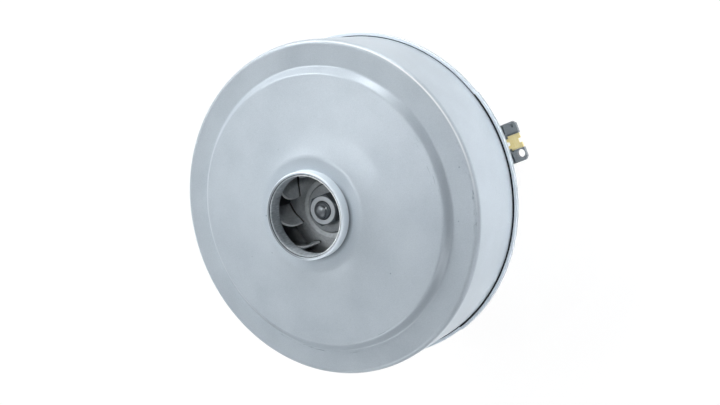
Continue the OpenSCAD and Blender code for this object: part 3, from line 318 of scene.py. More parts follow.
# Coil formers: frames moulded in ivory nylon round each pole's neck, with thin flanges that hold the wire
# and lugs for its ends. The nylon is satin and a little uneven, and the mould eases its edges.
def eased(node, name, material, width, body):
    """A CAD node's shape with its edges eased by a bevel, width in mm."""
    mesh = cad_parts[node].data.copy()
    mesh.name = name
    work = bmesh.new()
    work.from_mesh(mesh)
    bmesh.ops.remove_doubles(work, verts=work.verts, dist=1e-6)
    bmesh.ops.dissolve_limit(work, angle_limit=radians(0.5), verts=work.verts, edges=work.edges)
    work.to_mesh(mesh)
    work.free()
    if mesh.has_custom_normals:
        mesh.attributes.remove(mesh.attributes["custom_normal"])
    mesh.materials.clear()
    mesh.materials.append(material)
    mesh.shade_smooth()
    mesh.set_sharp_from_angle(angle=radians(32))
    made = in_scene(name, mesh)
    bevel = made.modifiers.new("eased edges", "BEVEL")
    bevel.width = width * 0.001
    bevel.segments = 2
    bevel.limit_method = "ANGLE"
    bevel.angle_limit = radians(40)
    bevel.harden_normals = True
    return stands_for(made, body, node)


ivory_nylon = surface("moulded_ivory_nylon", "#D3CBB6", "#E2DCCB", grain=0.8, patch=8,
                      roughness=0.42, metallic=0.0, bump=0.01)[0]
for place in ("upper", "lower"):
    eased("coil_former_" + place, "coil_frame_" + place, ivory_nylon, 0.15, "casing")


# Field coils: enamelled copper wire, 1 mm thick, wound in layers round each former. The enamel makes it a
# glossy dark orange. The last layer's ends run straight down to the former's lugs.
def settle(made):
    """Gives an object the plain mesh that its modifiers make."""
    bpy.context.view_layer.update()
    mesh = bpy.data.meshes.new_from_object(made.evaluated_get(bpy.context.evaluated_depsgraph_get()))
    made.modifiers.clear()
    made.data = mesh
    return made


def grown(made, tree, **inputs):
    """Gives an object the plain mesh that a Geometry Nodes tree makes of it."""
    grower = made.modifiers.new("grown", "NODES")
    grower.node_group = tree
    for item in tree.interface.items_tree:
        if item.in_out == "INPUT" and item.name in inputs:
            grower[item.identifier] = inputs[item.name]
    return settle(made)


def new_tree(name, **inputs):
    """A Geometry Nodes tree with named inputs, and those inputs' sockets."""
    tree = bpy.data.node_groups.new(name, "GeometryNodeTree")
    tree.interface.new_socket("Geometry", in_out="INPUT", socket_type="NodeSocketGeometry")
    for socket, kind in inputs.items():
        tree.interface.new_socket(socket, in_out="INPUT", socket_type="NodeSocket" + kind)
    tree.interface.new_socket("Geometry", in_out="OUTPUT", socket_type="NodeSocketGeometry")
    return tree, add(tree, "NodeGroupInput").outputs


wire_tree, given = new_tree("wire_along_a_path", Radius="Float", Finish="Material")
path = add(wire_tree, "GeometryNodeMeshToCurve", {"Mesh": given["Geometry"]}).outputs[0]
section = add(wire_tree, "GeometryNodeCurvePrimitiveCircle",
              {"Resolution": 12, "Radius": given["Radius"]}).outputs[0]
wire = add(wire_tree, "GeometryNodeCurveToMesh",
           {"Curve": path, "Profile Curve": section, "Fill Caps": True}).outputs[0]
wire = add(wire_tree, "GeometryNodeRealizeInstances", {"Geometry": wire}).outputs[0]
wire = add(wire_tree, "GeometryNodeSetMaterial", {"Geometry": wire, "Material": given["Finish"]}).outputs[0]
add(wire_tree, "NodeGroupOutput", {"Geometry": wire})


def wires(name, paths, radius, material):
    """Round wire along each path of points in mm."""
    mesh = bpy.data.meshes.new(name)
    points = [Vector(p) * 0.001 for path in paths for p in path]
    links, first = [], 0
    for path in paths:
        links += [(first + k, first + k + 1) for k in range(len(path) - 1)]
        first += len(path)
    mesh.from_pydata(points, links, [])
    made = grown(in_scene(name, mesh), wire_tree, Radius=radius * 0.001, Finish=material)
    made.data.shade_smooth()
    made.data.set_sharp_from_angle(angle=radians(50))
    return made


coil_wire_r, coil_pitch, coil_layers, coil_turns, corner_arc = 0.49, 1.0, 3, 5, 7
coil_start_y, coil_z, coil_end_z = 20.997, 48, -19.19
enamel_copper, _, shader, _ = surface("enamelled_copper_wire", "#8E4516", "#B9672B", grain=0.7, patch=5,
                                      roughness=0.24, metallic=0.75, bump=0.004)
shader.inputs["Coat Weight"].default_value = 0.5
shader.inputs["Coat Roughness"].default_value = 0.15


def coil_path(layer, side):
    """One layer's turns round a pole's neck in mm, with the wire's ends on the last layer. Side is 1 for the
    upper pole and -1 for the lower."""
    inset = (coil_layers - 1 - layer) * coil_pitch
    half_x, half_z, bend = 17.57 - inset, 18.57 - inset, 4.82 - inset
    per_turn = 4 * (corner_arc + 1)
    points = []
    for k in range(coil_turns * per_turn + per_turn // 2):
        quarter, step = divmod(k % per_turn, corner_arc + 1)
        a = pi / 2 * (quarter + step / corner_arc)
        sx, sz = ((1, 1), (-1, 1), (-1, -1), (1, -1))[quarter]
        y = coil_start_y + coil_pitch / 2 + coil_pitch * k / per_turn
        points.append((sx * (half_x - bend) + bend * cos(a), y, sz * (half_z - bend) + bend * sin(a)))
    if layer == coil_layers - 1:
        first_y, last_y = points[0][1], points[-1][1]
        points = [(half_x, first_y, coil_end_z), (half_x, first_y, coil_end_z + 1)] + points
        points += [(-half_x, last_y, coil_end_z + 1), (-half_x, last_y, coil_end_z)]
    return [(side * x, side * y, z + coil_z) for x, y, z in points]


for place, side in (("upper", 1), ("lower", -1)):
    layers = [coil_path(n, side) for n in range(coil_layers)]
    coil = wires("wound_coil_" + place, layers, coil_wire_r, enamel_copper)
    stands_for(coil, "casing", "field_coil_" + place)


# Shaft: ground steel with a thick middle between the bearings, smooth and dark grey with fine lines round
# it. Its tip is threaded M7 and domed, and the nut leaves two turns of thread in sight.
def lathe(path, turns=192, shape=None):
    """Points and faces of a closed path (across, along) in mm, turned about Z. shape(angle, r, z) may move
    r."""
    points, faces = [], []
    for k in range(turns):
        a = 2 * pi * k / turns
        for p in path:
            r = shape(a, p[0], p[1]) if shape else p[0]
            points.append((r * cos(a), r * sin(a), p[1]))
    n = len(path)
    for k in range(turns):
        j = (k + 1) % turns
        for i in range(n):
            m = (i + 1) % n
            if path[i][0] > 1e-6 or path[m][0] > 1e-6:
                faces.append([k * n + i, j * n + i, j * n + m, k * n + m])
    return points, faces


thread_low, thread_r, thread_pitch, thread_depth = 97.6, 3.5, 1.0, 0.45
taper_low, tip, dome, tip_plain, thread_steps = 104.6, 107, 0.985, 0.25, 120


def threaded(a, r, z):
    """The thread's groove, which grows shallow on the taper."""
    if z < thread_low or z > tip - tip_plain:
        return r
    turn = (z / thread_pitch - a / (2 * pi)) % 1
    groove = max(0, abs(2 * turn - 1) * 1.25 - 0.25)
    fade = min(1, (z - thread_low) / 0.4) * min(1, (tip - z + 0.6) / (tip - taper_low))
    return r - thread_depth * groove * fade


shaft_path = [(0, 2), (3.5, 2), (4, 2.5), (4, 9.4), (5, 9.4), (5, 71), (4, 71), (4, 97.5), (3.5, 97.5)]
for k in range(thread_steps + 1):
    z = thread_low + (tip - thread_low) * k / thread_steps
    up_taper = max(0, z - taper_low) / (tip - taper_low)
    shaft_path.append((thread_r * sqrt(1 - up_taper ** 2 * dome), z))
shaft_path.append((0, tip))
ground_steel = surface("ground_shaft_steel", "#5A6065", "#7C8287", grain=0.4, patch=4,
                       roughness=0.3, metallic=0.6, bump=0.004, stretch=(6, 6, 1))[0]
shaft = solid("threaded_shaft", *lathe(shaft_path, 96, threaded), ground_steel, 40)
stands_for(shaft, "rotor", "shaft")


# Armature winding: thin enamelled wire in the core's slots, bunched over both ends and soaked in a brown
# varnish that lets the strands shine. A disc of dull red fibre lies on each end of the stack.
copies_tree, given = new_tree("turned_copies", Count="Int", Start="Float", Finish="Material")
index = add(copies_tree, "GeometryNodeInputIndex").outputs[0]
step = add(copies_tree, "ShaderNodeMath", {0: 2 * pi, 1: given["Count"]}, operation="DIVIDE").outputs[0]
turn = add(copies_tree, "ShaderNodeMath", {0: index, 1: step, 2: given["Start"]},
           operation="MULTIPLY_ADD").outputs[0]
lean = add(copies_tree, "ShaderNodeCombineXYZ", {"Z": turn}).outputs[0]
spots = add(copies_tree, "GeometryNodePoints", {"Count": given["Count"]}).outputs[0]
placed = add(copies_tree, "GeometryNodeInstanceOnPoints",
             {"Points": spots, "Instance": given["Geometry"], "Rotation": lean}).outputs[0]
whole = add(copies_tree, "GeometryNodeRealizeInstances", {"Geometry": placed}).outputs[0]
whole = add(copies_tree, "GeometryNodeSetMaterial",
            {"Geometry": whole, "Material": given["Finish"]}).outputs[0]
add(copies_tree, "NodeGroupOutput", {"Geometry": whole})


def joined(name, *objects):
    """One object from several."""
    work = bmesh.new()
    for made in objects:
        work.from_mesh(made.data)
    mesh = bpy.data.meshes.new(name)
    work.to_mesh(mesh)
    work.free()
    for material in objects[0].data.materials:
        mesh.materials.append(material)
    for made in objects:
        bpy.data.objects.remove(made)
    return in_scene(name, mesh)


armature_copper = surface("varnished_armature_wire", "#7C3A16", "#A8592A", grain=0.6, patch=4,
                          roughness=0.3, metallic=0.7, bump=0.006)[0]
bundle_in, bundle_out, bundle_edge = 6.5, 18.2, 0.9
strand_count, strand_steps, strand_r = 64, 24, 0.24
strand_start, strand_reach, strand_sweep = 6.75, 11.2, 1.25
slot_count, slot_r, slot_low, slot_high, slot_at = 12, 2.3, 32.2, 65.6, 15
bundles = []
for name, low, high, outwards in (("rear", 31.0, 33.4, -1), ("front", 62.6, 68.6, 1)):
    ring = [(bundle_in, low, bundle_edge), (bundle_out, low, bundle_edge),
            (bundle_out, high, bundle_edge), (bundle_in, high, bundle_edge)]
    bundles.append(solid(name + "_turns", *lathe(rounded(ring), 96), armature_copper))
    face = low if outwards < 0 else high
    strand = []
    for k in range(strand_steps + 1):
        t = k / strand_steps
        r, a = strand_start + strand_reach * t, strand_sweep * t
        near_end = max(0, abs(2 * t - 1) - 0.8) / 0.2
        strand.append((r * cos(a), r * sin(a), face - outwards * (0.05 + 0.9 * near_end ** 2)))
    laid = wires(name + "_strands", [strand], strand_r, armature_copper)
    bundles.append(grown(laid, copies_tree, Count=strand_count, Start=0.0, Finish=armature_copper))
slot_path = [(0, slot_low), (slot_r, slot_low), (slot_r, slot_high), (0, slot_high)]
fill = solid("slot_fill", *lathe(slot_path, 24), armature_copper)
fill.data.transform(Matrix.Translation((slot_at * 0.001, 0, 0)))
bundles.append(grown(fill, copies_tree, Count=slot_count, Start=0.0, Finish=armature_copper))
stands_for(joined("armature_wire", *bundles), "rotor", "armature_winding")
dress(surface("pressed_red_fibre", "#6B2620", "#86372E", grain=0.5, patch=6,
              roughness=0.6, metallic=0.0, bump=0.02)[0], "armature_insulators")


# Commutator: hard-drawn copper bars moulded into a brown phenolic hub. The bars are turned bright, and the
# brushes polish a dark, even track on them.
def whereabouts(tree):
    """Sockets of a spot's distance from the shaft's axis and of its X, Y and Z, in metres."""
    spot = add(tree, "ShaderNodeSeparateXYZ", {0: add(tree, "ShaderNodeTexCoord").outputs["Object"]}).outputs
    flat = add(tree, "ShaderNodeCombineXYZ", {"X": spot["X"], "Y": spot["Y"]}).outputs[0]
    radius = add(tree, "ShaderNodeVectorMath", {0: flat}, operation="LENGTH").outputs["Value"]
    return radius, spot["X"], spot["Y"], spot["Z"]


def merged(tree, how, *masks):
    """Masks taken together: MULTIPLY for where all of them hold, MAXIMUM for where any does."""
    whole = masks[0]
    for mask in masks[1:]:
        whole = add(tree, "ShaderNodeMath", {0: whole, 1: mask}, operation=how).outputs[0]
    return whole


def beyond(tree, *limits):
    """A mask of what lies beyond every limit (value, edge, width of the change), in metres. A negative width
    turns a limit round."""
    masks = []
    for value, edge, width in limits:
        masks.append(add(tree, "ShaderNodeMapRange", {
            "Value": value, "From Min": edge - width / 2, "From Max": edge + width / 2}).outputs[0])
    return merged(tree, "MULTIPLY", *masks)


def coated(tree, shader, colour, *coats):
    """Lays coats (mask, hex colour) over a finish's colour, each over the one before."""
    for mask, over in coats:
        colour = add(tree, "ShaderNodeMix", {0: mask, 6: colour, 7: linear(over)},
                     data_type="RGBA").outputs[2]
    tree.links.new(colour, shader.inputs["Base Color"])


brush_z = 20.7
track_low, track_high, track_fade = (brush_z - 4.6) * 0.001, (brush_z + 4.6) * 0.001, 0.0008
bar_copper, tree, shader, colour = surface("drawn_copper_bars", "#A9602F", "#C98049", grain=0.4, patch=3,
                                           roughness=0.28, metallic=1.0, bump=0.004, stretch=(1, 1, 5))
z = whereabouts(tree)[3]
track = beyond(tree, (z, track_low, track_fade), (z, track_high, -track_fade))
coated(tree, shader, colour, (track, "#6E4630"))
dress(bar_copper, "commutator_bars")
dress(surface("moulded_brown_phenolic", "#3B2118", "#4D2F22", grain=0.3, patch=5,
              roughness=0.38, metallic=0.0, bump=0.01)[0], "commutator_hub")


# Brush gear: carbon blocks slide in folded brass tubes, each pushed by a spring round a copper braid. The
# tube sits in a holder moulded in dark glass-filled plastic, dull and speckled, and a terminal of pale
# brushed brass lies between the ears of its fork. Blue-sleeved wires lead to the coils.
holder_plastic = surface("glass_filled_dark_plastic", "#71787D", "#858B90", grain=0.45, patch=5,
                         roughness=0.46, metallic=0.0, bump=0.03)[0]
brass_sheet = surface("brushed_brass_sheet", "#E8D48E", "#F2E3AD", grain=0.22, patch=4,
                      roughness=0.42, metallic=0.1, bump=0.012, stretch=(1, 14, 1))[0]
carbon = surface("pressed_carbon", "#26282A", "#35383B", grain=0.25, patch=3,
                 roughness=0.55, metallic=0.0, bump=0.02)[0]
braid = surface("tinned_copper_braid", "#9C6338", "#C58A5A", grain=0.2, patch=2,
                roughness=0.4, metallic=0.9, bump=0.05)[0]
blue_sleeve = surface("blue_wire_sleeve", "#27568F", "#3468A6", grain=0.6, patch=6,
                      roughness=0.35, metallic=0.0, bump=0.006)[0]
spring_turns, spring_steps, spring_r, spring_wire_r = 8, 24, 2.42, 0.3
spring_low, spring_high, spring_end = 29.5, 41.9, 0.6
braid_strands, braid_steps, braid_r, braid_strand_r = 5, 40, 0.3, 0.19
lead_r, lead_steps, lead_bend = 0.68, 24, 1.4
for place, side in (("right", 1), ("left", -1)):
    eased("brush_holder_" + place, "holder_" + place, holder_plastic, 0.22, "casing")
    eased("brush_terminal_" + place, "terminal_" + place, brass_sheet, 0.1, "casing")
    eased("brush_tube_" + place, "tube_" + place, brass_sheet, 0.12, "casing")
    eased("carbon_brush_" + place, "brush_" + place, carbon, 0.2, "brush_" + place)
    span = spring_high - spring_low
    count = spring_turns * spring_steps
    curl = [(spring_low, 0.0), (spring_low + spring_end, 0.0)]
    curl += [(spring_low + 2 * spring_end + (span - 4 * spring_end) * k / count, 2 * pi * k / spring_steps)
             for k in range(count + 1)]
    curl += [(spring_high - spring_end, 0.0), (spring_high, 0.0)]
    spring_path = [(side * x, side * spring_r * cos(a), brush_z + spring_r * sin(a)) for x, a in curl]
    spring = wires("spring_" + place, [spring_path], spring_wire_r, spring_steel)
    strands = []
    for n in range(braid_strands):
        twist = [0.5 * k + 2 * pi * n / braid_strands for k in range(braid_steps + 1)]
        strands.append([(side * (spring_low + span * k / braid_steps),
                         braid_r * cos(a), brush_z + braid_r * sin(a)) for k, a in enumerate(twist)])
    lead = wires("braid_" + place, strands, braid_strand_r, braid)
    for made, node, slot in ((spring, "brush_spring_", "spring_steel"), (lead, "brush_lead_", "copper")):
        stands_for(made, "casing", node + place)
        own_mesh(made)
    first, last = Vector((18.57, 20.877, 28.01)), Vector((39.5, 1.6, 26.72))
    outward, upward = Vector((lead_bend, 0, 0)), Vector((0, 0, lead_bend))
    run = [first + outward, last + upward]
    rise = [run[0].lerp(run[1], k / lead_steps) + Vector((0, 0, sin(pi * k / lead_steps)))
            for k in range(lead_steps + 1)]
    route = [first, first + outward / 2] + rise + [last + upward / 2, last]
    route = [(side * p.x, side * p.y, p.z) for p in route]
    sleeve = wires("field_wire_" + place, [route], lead_r, blue_sleeve)
    stands_for(sleeve, "casing", "field_lead_" + place)


# Screws: zinc-plated steel, bright and a little cloudy, with a pan head and a cross recess. Four hold the
# housing's flange to the bracket, and two hold each brush holder by its wings.
zinc_plate = surface("zinc_plated_steel", "#C2C8CD", "#D8DDE1", grain=0.35, patch=4,
                     roughness=0.36, metallic=0.35, bump=0.006)[0]
box_faces = [[0, 3, 2, 1], [4, 5, 6, 7], [0, 1, 5, 4], [1, 2, 6, 5], [2, 3, 7, 6], [3, 0, 4, 7]]


def cut(made, tool):
    """Takes one object's shape out of another's."""
    taken = made.modifiers.new("cut", "BOOLEAN")
    taken.object = tool
    taken.operation = "DIFFERENCE"
    taken.solver = "EXACT"
    settle(made)
    bpy.data.objects.remove(tool)
    made.data.shade_smooth()
    made.data.set_sharp_from_angle(angle=radians(32))
    return made


def cross_screw(name, head_r, head_h, r, length):
    """A screw whose head's top is at z = 0, and whose tip points along +Z."""
    outline = rounded([(0, 0, 0), (head_r, 0, head_h * 0.55), (head_r, head_h, 0.15), (r, head_h, 0),
                       (r, length - 0.5, 0), (r - 0.5, length, 0), (0, length, 0)])
    made = solid(name, *lathe(outline, 48), zinc_plate)
    half_w, depth, half_l = head_r * 0.16, head_h * 0.6, head_r * 0.58
    for a, b in ((half_l, half_w), (half_w, half_l)):
        top = [(-a, -b, -1), (a, -b, -1), (a, b, -1), (-a, b, -1)]
        arm = top + [(x * 0.7, y * 0.7, depth) for x, y, z in top]
        cut(made, solid(name + "_recess", arm, box_faces, zinc_plate))
    return made


flange_head_z, wing_head_x, wing_y = 67, 44.4, 11.6
screw = cross_screw("flange_screw", head_r=3.4, head_h=2.4, r=1.9, length=7.2)
screw.data.transform(Matrix.Translation((screw_circle * 0.001, 0, flange_head_z * 0.001)))
grown(screw, copies_tree, Count=4, Start=pi / 4, Finish=zinc_plate)
stands_for(screw, "casing", "flange_screws")
screws = []
for y in (-wing_y, wing_y):
    made = cross_screw("holder_screw", head_r=2.1, head_h=1.0, r=1.25, length=7.4)
    spot = Matrix.Translation((wing_head_x * 0.001, y * 0.001, brush_z * 0.001))
    made.data.transform(spot @ Matrix.Rotation(-pi / 2, 4, "Y"))
    screws.append(grown(made, copies_tree, Count=2, Start=0.0, Finish=zinc_plate))
stands_for(joined("wing_screws", *screws), "casing", "holder_screws")


# Front bracket: a pressed plate of the cover's satin steel, with a cup for the front bearing and windows
# for the air. Its upturned rim stands round the cover's foot with a narrow gap, and steps out over two
# quarter turns. A painted highlight lies along the rim's top, and painted shade darkens the gap.
bracket_below = rounded(
    [(6.3, 78, 0), (11.03, 78, 0.5), (11.03, 70.6, 0.6), (22, 70.6, 0), (36, 70.6, 0), (44, 70.6, 0),
     (50, 70.6, 0), (67.5, 70.6, 0.4), (67.5, 72.45, 0), (67.35, 72.6, 0)], False)
bracket_above = rounded(
    [(6.3, 79.2, 0), (12.23, 79.2, 1.2), (12.23, 71.8, 0.4), (22, 71.8, 0), (36, 71.8, 0), (44, 71.8, 0),
     (50, 71.8, 0), (66.3, 71.8, 0.1), (66.3, 72.45, 0), (66.45, 72.6, 0)], False)
air_windows = [(22.5 + 45 * k, 12, (23, 70.6), (34, 70.6), 1.6) for k in range(8)]
thread_holes = [(45 + 90 * k, degrees(1.93 / screw_circle), (44.57, 70.6), (48.43, 70.6), 1.92)
                for k in range(4)]
step_out, step_start, step_half = 0.4, -71, 0.25
step_columns = [step_start + 90 * k + d for k in range(4) for d in (-step_half, step_half)]


def rim_step(angle, r):
    """The rim stands further out over two quarter turns."""
    turn = (angle - step_start) % 180
    inside = min(turn, 90 - turn) + step_half
    return step_out * min(1, max(0, inside / (2 * step_half))) * (r > 66.25)


coated_steel, tree, shader, colour = surface("zinc_coated_sheet", "#A5AFB8", "#B6C0C8", grain=0.45, patch=16,
                                             roughness=0.4, metallic=0.12, bump=0.008)
radius, x, y, z = whereabouts(tree)
# Painted highlight along the rim's top edge.
painted_rim_top_highlight = beyond(tree, (z, 0.0724, 0.0001))
# Painted shade on the bracket inside the narrow gap round the cover's foot.
painted_seam_shade = beyond(tree, (radius, 0.060, 0.001), (radius, 0.0668, -0.0001),
             (z, 0.0717, 0.0001), (z, 0.0721, -0.0001))
coated(tree, shader, colour, (painted_rim_top_highlight, "#E6EFF7"), (painted_seam_shade, "#2C3135"))
bracket_sheet = pressed_sheet(bracket_below, bracket_above, air_windows + thread_holes, columns=240,
                              extra=step_columns, push=rim_step)
bracket = solid("bracket_plate", *bracket_sheet, coated_steel)
stands_for(bracket, "casing", "front_bracket")


# Diffuser: one moulding in dull dark plastic, with vanes that slow the air round the impeller and return
# vanes below its disc. The spacer bush under the impeller is turned from the shaft's steel.
dress(surface("moulded_dark_diffuser", "#33373B", "#454A4F", grain=0.5, patch=10,
              roughness=0.5, metallic=0.0, bump=0.02)[0], "diffuser")
dress(ground_steel, "impeller_spacer")


# Impeller: plate, blades and shroud of sheet aluminium, riveted together. They keep the mill's pale satin
# finish with its fine rolling lines.
dress(surface("mill_finish_aluminium", "#9AA1A6", "#B7BDC1", grain=0.3, patch=12,
              roughness=0.4, metallic=0.5, bump=0.006, stretch=(1, 8, 1))[0],
      "impeller_back_plate", "impeller_blades", "impeller_front_shroud")


# Inducer: the die-cast aluminium hub that carries the leading part of the blades. Their front edges stand
# up into the eye and sweep back at the top. It is left as cast, dull and blotchy. A painted highlight lies
# along those edges, and painted shade at the blades' feet, round the washer and over one side of the hub.
cast_aluminium, tree, shader, colour = surface("as_cast_aluminium", "#B6BCC0", "#DEE3E6", grain=0.9, patch=5,
                                               roughness=0.55, metallic=0.15, bump=0.03)
# Painted highlight along the blades' front edges.
painted_front_highlight = add(tree, "ShaderNodeAttribute", attribute_name="painted_front_highlight").outputs["Fac"]
# Painted shade at the blades' feet, round the washer and over one side of the hub.
painted_hub_shade = add(tree, "ShaderNodeAttribute", attribute_name="painted_hub_shade").outputs["Fac"]
coated(tree, shader, colour, (painted_front_highlight, "#EEF1F3"), (painted_hub_shade, "#16191B"))
hub_low, hub_top = 87, 98.5
hub_path = rounded([(4.03, hub_low, 0), (26, hub_low, 0), (26, 87.6, 0), (17.9, 95.7, 12), (12, hub_top, 0.5),
                    (10.4, hub_top, 0), (9.8, hub_top, 0), (4.03, hub_top, 0)])
hub = solid("inducer_hub", *lathe(hub_path, 144), cast_aluminium)
blade_count, first_blade, root_r, base_r, blade_t, wrap, foot_in = 9, 26, 15.6, 26, 1.0, 44.5, 0.2
shroud_r, shroud_mid_r, shroud_mid_z, turn_back, shroud_from = 9.3, 29.5, 109.03, radians(67.9), 0.3


def hub_height(r):
    """Height of the hub's surface at a radius, from its rounded outline."""
    for a, b in zip(hub_path, hub_path[1:]):
        if a.y > hub_low + 0.1 and b.x <= r <= a.x and a.x > b.x:
            return a.y + (b.y - a.y) * (r - a.x) / (b.x - a.x)
    return hub_top


def hub_edge(q):
    """Radius, height and angle along the blade's foot, q from its front edge back."""
    r = root_r + (base_r - root_r) * q
    x = (r - root_r) / 2.2
    return Vector((r, hub_height(r) - foot_in, -wrap * log(r / root_r) - 4.8 * x * exp(1 - x)))


def front_edge(p):
    """The same along the front edge, p from the hub up, fitted to the blades in sight."""
    r = root_r - 1.36 * p + 2.56 * p * p
    z = 96.6 - foot_in + 15.3 * p - 2.3 * p * p
    return Vector((r, z, 2.2 * p + 9 * p * p - 22.5 * p ** 3))


def top_edge(q):
    """The same along the top, first out to the shroud and then down its curve."""
    a = turn_back * max(0, (q - shroud_from) / (1 - shroud_from))
    r, z = shroud_mid_r - shroud_r * cos(a), shroud_mid_z - shroud_r * sin(a)
    out = front_edge(1)
    t = min(1, q / shroud_from)
    return Vector((out.x + (r - out.x) * t, out.y + (z - out.y) * t, out.z + (hub_edge(1).z - out.z) * q))


def blade_spot(p, q):
    """A spot of the blade's middle surface, blended from its four edges."""
    rear = hub_edge(1).lerp(top_edge(1), p)
    corners = hub_edge(0).lerp(hub_edge(1), q).lerp(top_edge(0).lerp(top_edge(1), q), p)
    spot = hub_edge(q).lerp(top_edge(q), p) + front_edge(p).lerp(rear, q) - corners
    a = radians(first_blade + spot.z)
    return Vector((spot.x * cos(a), spot.x * sin(a), spot.y))


blade_q = [0, 0.004, 0.012, 0.026, 0.05, 0.09, 0.15, 0.22, 0.3, 0.4, 0.52, 0.66, 0.83, 1]
blade_p = [0, 0.02, 0.035, 0.05, 0.065, 0.08] + [k / 20 for k in range(2, 21)]
middle = [[blade_spot(i, j) for j in blade_q] for i in blade_p]
blade_points, blade_faces = [], []
for s in (1, -1):
    for i, row in enumerate(middle):
        for j, spot in enumerate(row):
            along = row[min(j + 1, len(row) - 1)] - row[max(j - 1, 0)]
            upward = middle[min(i + 1, len(middle) - 1)][j] - middle[max(i - 1, 0)][j]
            nose = min(1, (spot - row[0]).length / (blade_t / 2))
            half = blade_t / 2 * sqrt(1 - (1 - nose) ** 2)
            blade_points.append(spot + along.cross(upward).normalized() * (s * half))
n, m = len(blade_q), len(blade_points) // 2
for i in range(len(middle) - 1):
    for j in range(n - 1):
        k = i * n + j
        blade_faces += [[k, k + 1, k + n + 1, k + n], [m + k, m + k + n, m + k + n + 1, m + k + 1]]
    end = i * n + n - 1
    blade_faces.append([end, m + end, m + end + n, end + n])
for j in range(n - 1):
    top = m - n + j
    blade_faces += [[j, m + j, m + j + 1, j + 1], [top, top + 1, m + top + 1, m + top]]
blade = solid("inducer_blade", blade_points, blade_faces, cast_aluminium, 50)
# Height and fade of the painted shade above the hub, and the radii inside which the hub is shaded, in mm.
highlight_reach, shade_height, shade_fade, shaded_r, unshaded_r = 0.75, 1.1, 0.35, 10, 15
# Painted highlight on the blade within highlight_reach of its front edge.
highlighted = blade.data.attributes.new("painted_front_highlight", "FLOAT", "POINT")
for v, mark in zip(blade.data.vertices, highlighted.data):
    away = min((v.co * 1000 - row[0]).length for row in middle)
    mark.value = max(0, 1 - away / highlight_reach)
# Painted shade on the blade near its foot on the hub.
shaded = blade.data.attributes.new("painted_hub_shade", "FLOAT", "POINT")
for v, mark in zip(blade.data.vertices, shaded.data):
    x, y, z = v.co * 1000
    mark.value = min(1, max(0, (shade_height - z + hub_height(sqrt(x * x + y * y))) / shade_fade))
hub.data.attributes.new("painted_front_highlight", "FLOAT", "POINT")
# Painted shade on the hub round the washer and over its -X, +Y side.
shaded = hub.data.attributes.new("painted_hub_shade", "FLOAT", "POINT")
for v, mark in zip(hub.data.vertices, shaded.data):
    x, y, z = v.co * 1000
    r = sqrt(x * x + y * y)
    one_side = 0.3 * max(0, (0.8 * y - 0.6 * x) / r)
    mark.value = 0.9 if r < shaded_r else one_side * min(1, max(0, (unshaded_r - r) / 2))
grown(blade, copies_tree, Count=blade_count, Start=0.0, Finish=cast_aluminium)
stands_for(joined("cast_inducer", hub, blade), "rotor", "inducer")


# Washer and nut: the washer is dull ground steel, and the nut turned steel, with painted shade on its
# sides below the face. The nut's corners are turned off to a round face, and its hole is countersunk.
washer_steel = surface("ground_washer_steel", "#868C91", "#A0A6AA", grain=0.5, patch=4,
                       roughness=0.5, metallic=0.3, bump=0.01)[0]
washer_path = rounded([(3.8, 98.5, 0), (9.5, 98.5, 0.2), (9.5, 99.5, 0.25), (3.8, 99.5, 0.2)])
washer = solid("clamp_washer", *lathe(washer_path, 96), washer_steel)
stands_for(washer, "rotor", "impeller_washer")
nut_flat = 5.75
nut_path = rounded([(3.53, 99.5, 0), (7.2, 99.5, 0), (7.2, 103.5, 0), (5.35, 104.5, 0.15), (3.85, 104.5, 0.1),
                    (3.53, 104.1, 0)])
nut_steel, tree, shader, colour = surface("turned_nut_steel", "#AEB5BB", "#C4CACF", grain=0.35, patch=4,
                                          roughness=0.42, metallic=0.25, bump=0.006)
# Painted shade on the nut's sides and chamfer below its face.
painted_nut_shade = beyond(tree, (whereabouts(tree)[3], 0.1044, -0.0001))
coated(tree, shader, colour, (painted_nut_shade, "#4B5156"))
nut = solid("turned_nut", *lathe(nut_path, 96), nut_steel)
for k in range(6):
    flat = [(nut_flat, -9, 98), (12, -9, 98), (12, 9, 98), (nut_flat, 9, 98)]
    block = flat + [(x, y, 107) for x, y, z in flat]
    tool = solid("flat", block, box_faces, nut_steel)
    tool.data.transform(Matrix.Rotation(radians(30 + 60 * k), 4, "Z"))
    cut(nut, tool)
stands_for(nut, "rotor", "impeller_nut")


# Fan cover: drawn zinc-coated steel, 1 mm thick and satin grey. A flat ring and a low shoulder lead to a
# bell with a collar whose sheet is folded back on itself. Gaskets and handling have left dark rub marks
# and specks. Painted light brightens the collar's wall and part of the ring's edge, and painted shade
# darkens the collar's foot, one side of the shoulder and ring edge, one side of the lip, and the gaps at
# the cover's foot and fold.
cover_outline = [
    (66, 71.8, 0), (66, 104.7, 2), (55.85, 104.7, 1.2), (53.2, 107.9, 1.5), (29.5, 110.6, 46),
    (22.3, 113.2, 5.5), (17.1, 113.2, 0.3), (17.1, 117.9, 0.55), (15.9, 117.9, 0.55), (15.9, 112.2, 0),
    (22.1, 112.2, 4.5), (29.28, 109.62, 47), (52.35, 107.0, 0.6), (55.4, 103.7, 2.1), (65, 103.7, 1),
    (65, 71.8, 0)]
shoulder_r, speck_gap, speck_patch = 55, 9, 25
cover_steel, tree, shader, colour = surface("handled_zinc_coated_sheet", "#A5AFB8", "#B6C0C8", grain=0.4,
                                            patch=18, roughness=0.4, metallic=0.12, bump=0.008)
place = add(tree, "ShaderNodeTexCoord").outputs["Object"]
radius, x, y, z = whereabouts(tree)
angle = add(tree, "ShaderNodeMath", {0: y, 1: x}, operation="ARCTAN2").outputs[0]
spot = add(tree, "ShaderNodeCombineXYZ", {"X": angle, "Y": radius, "Z": z}).outputs[0]


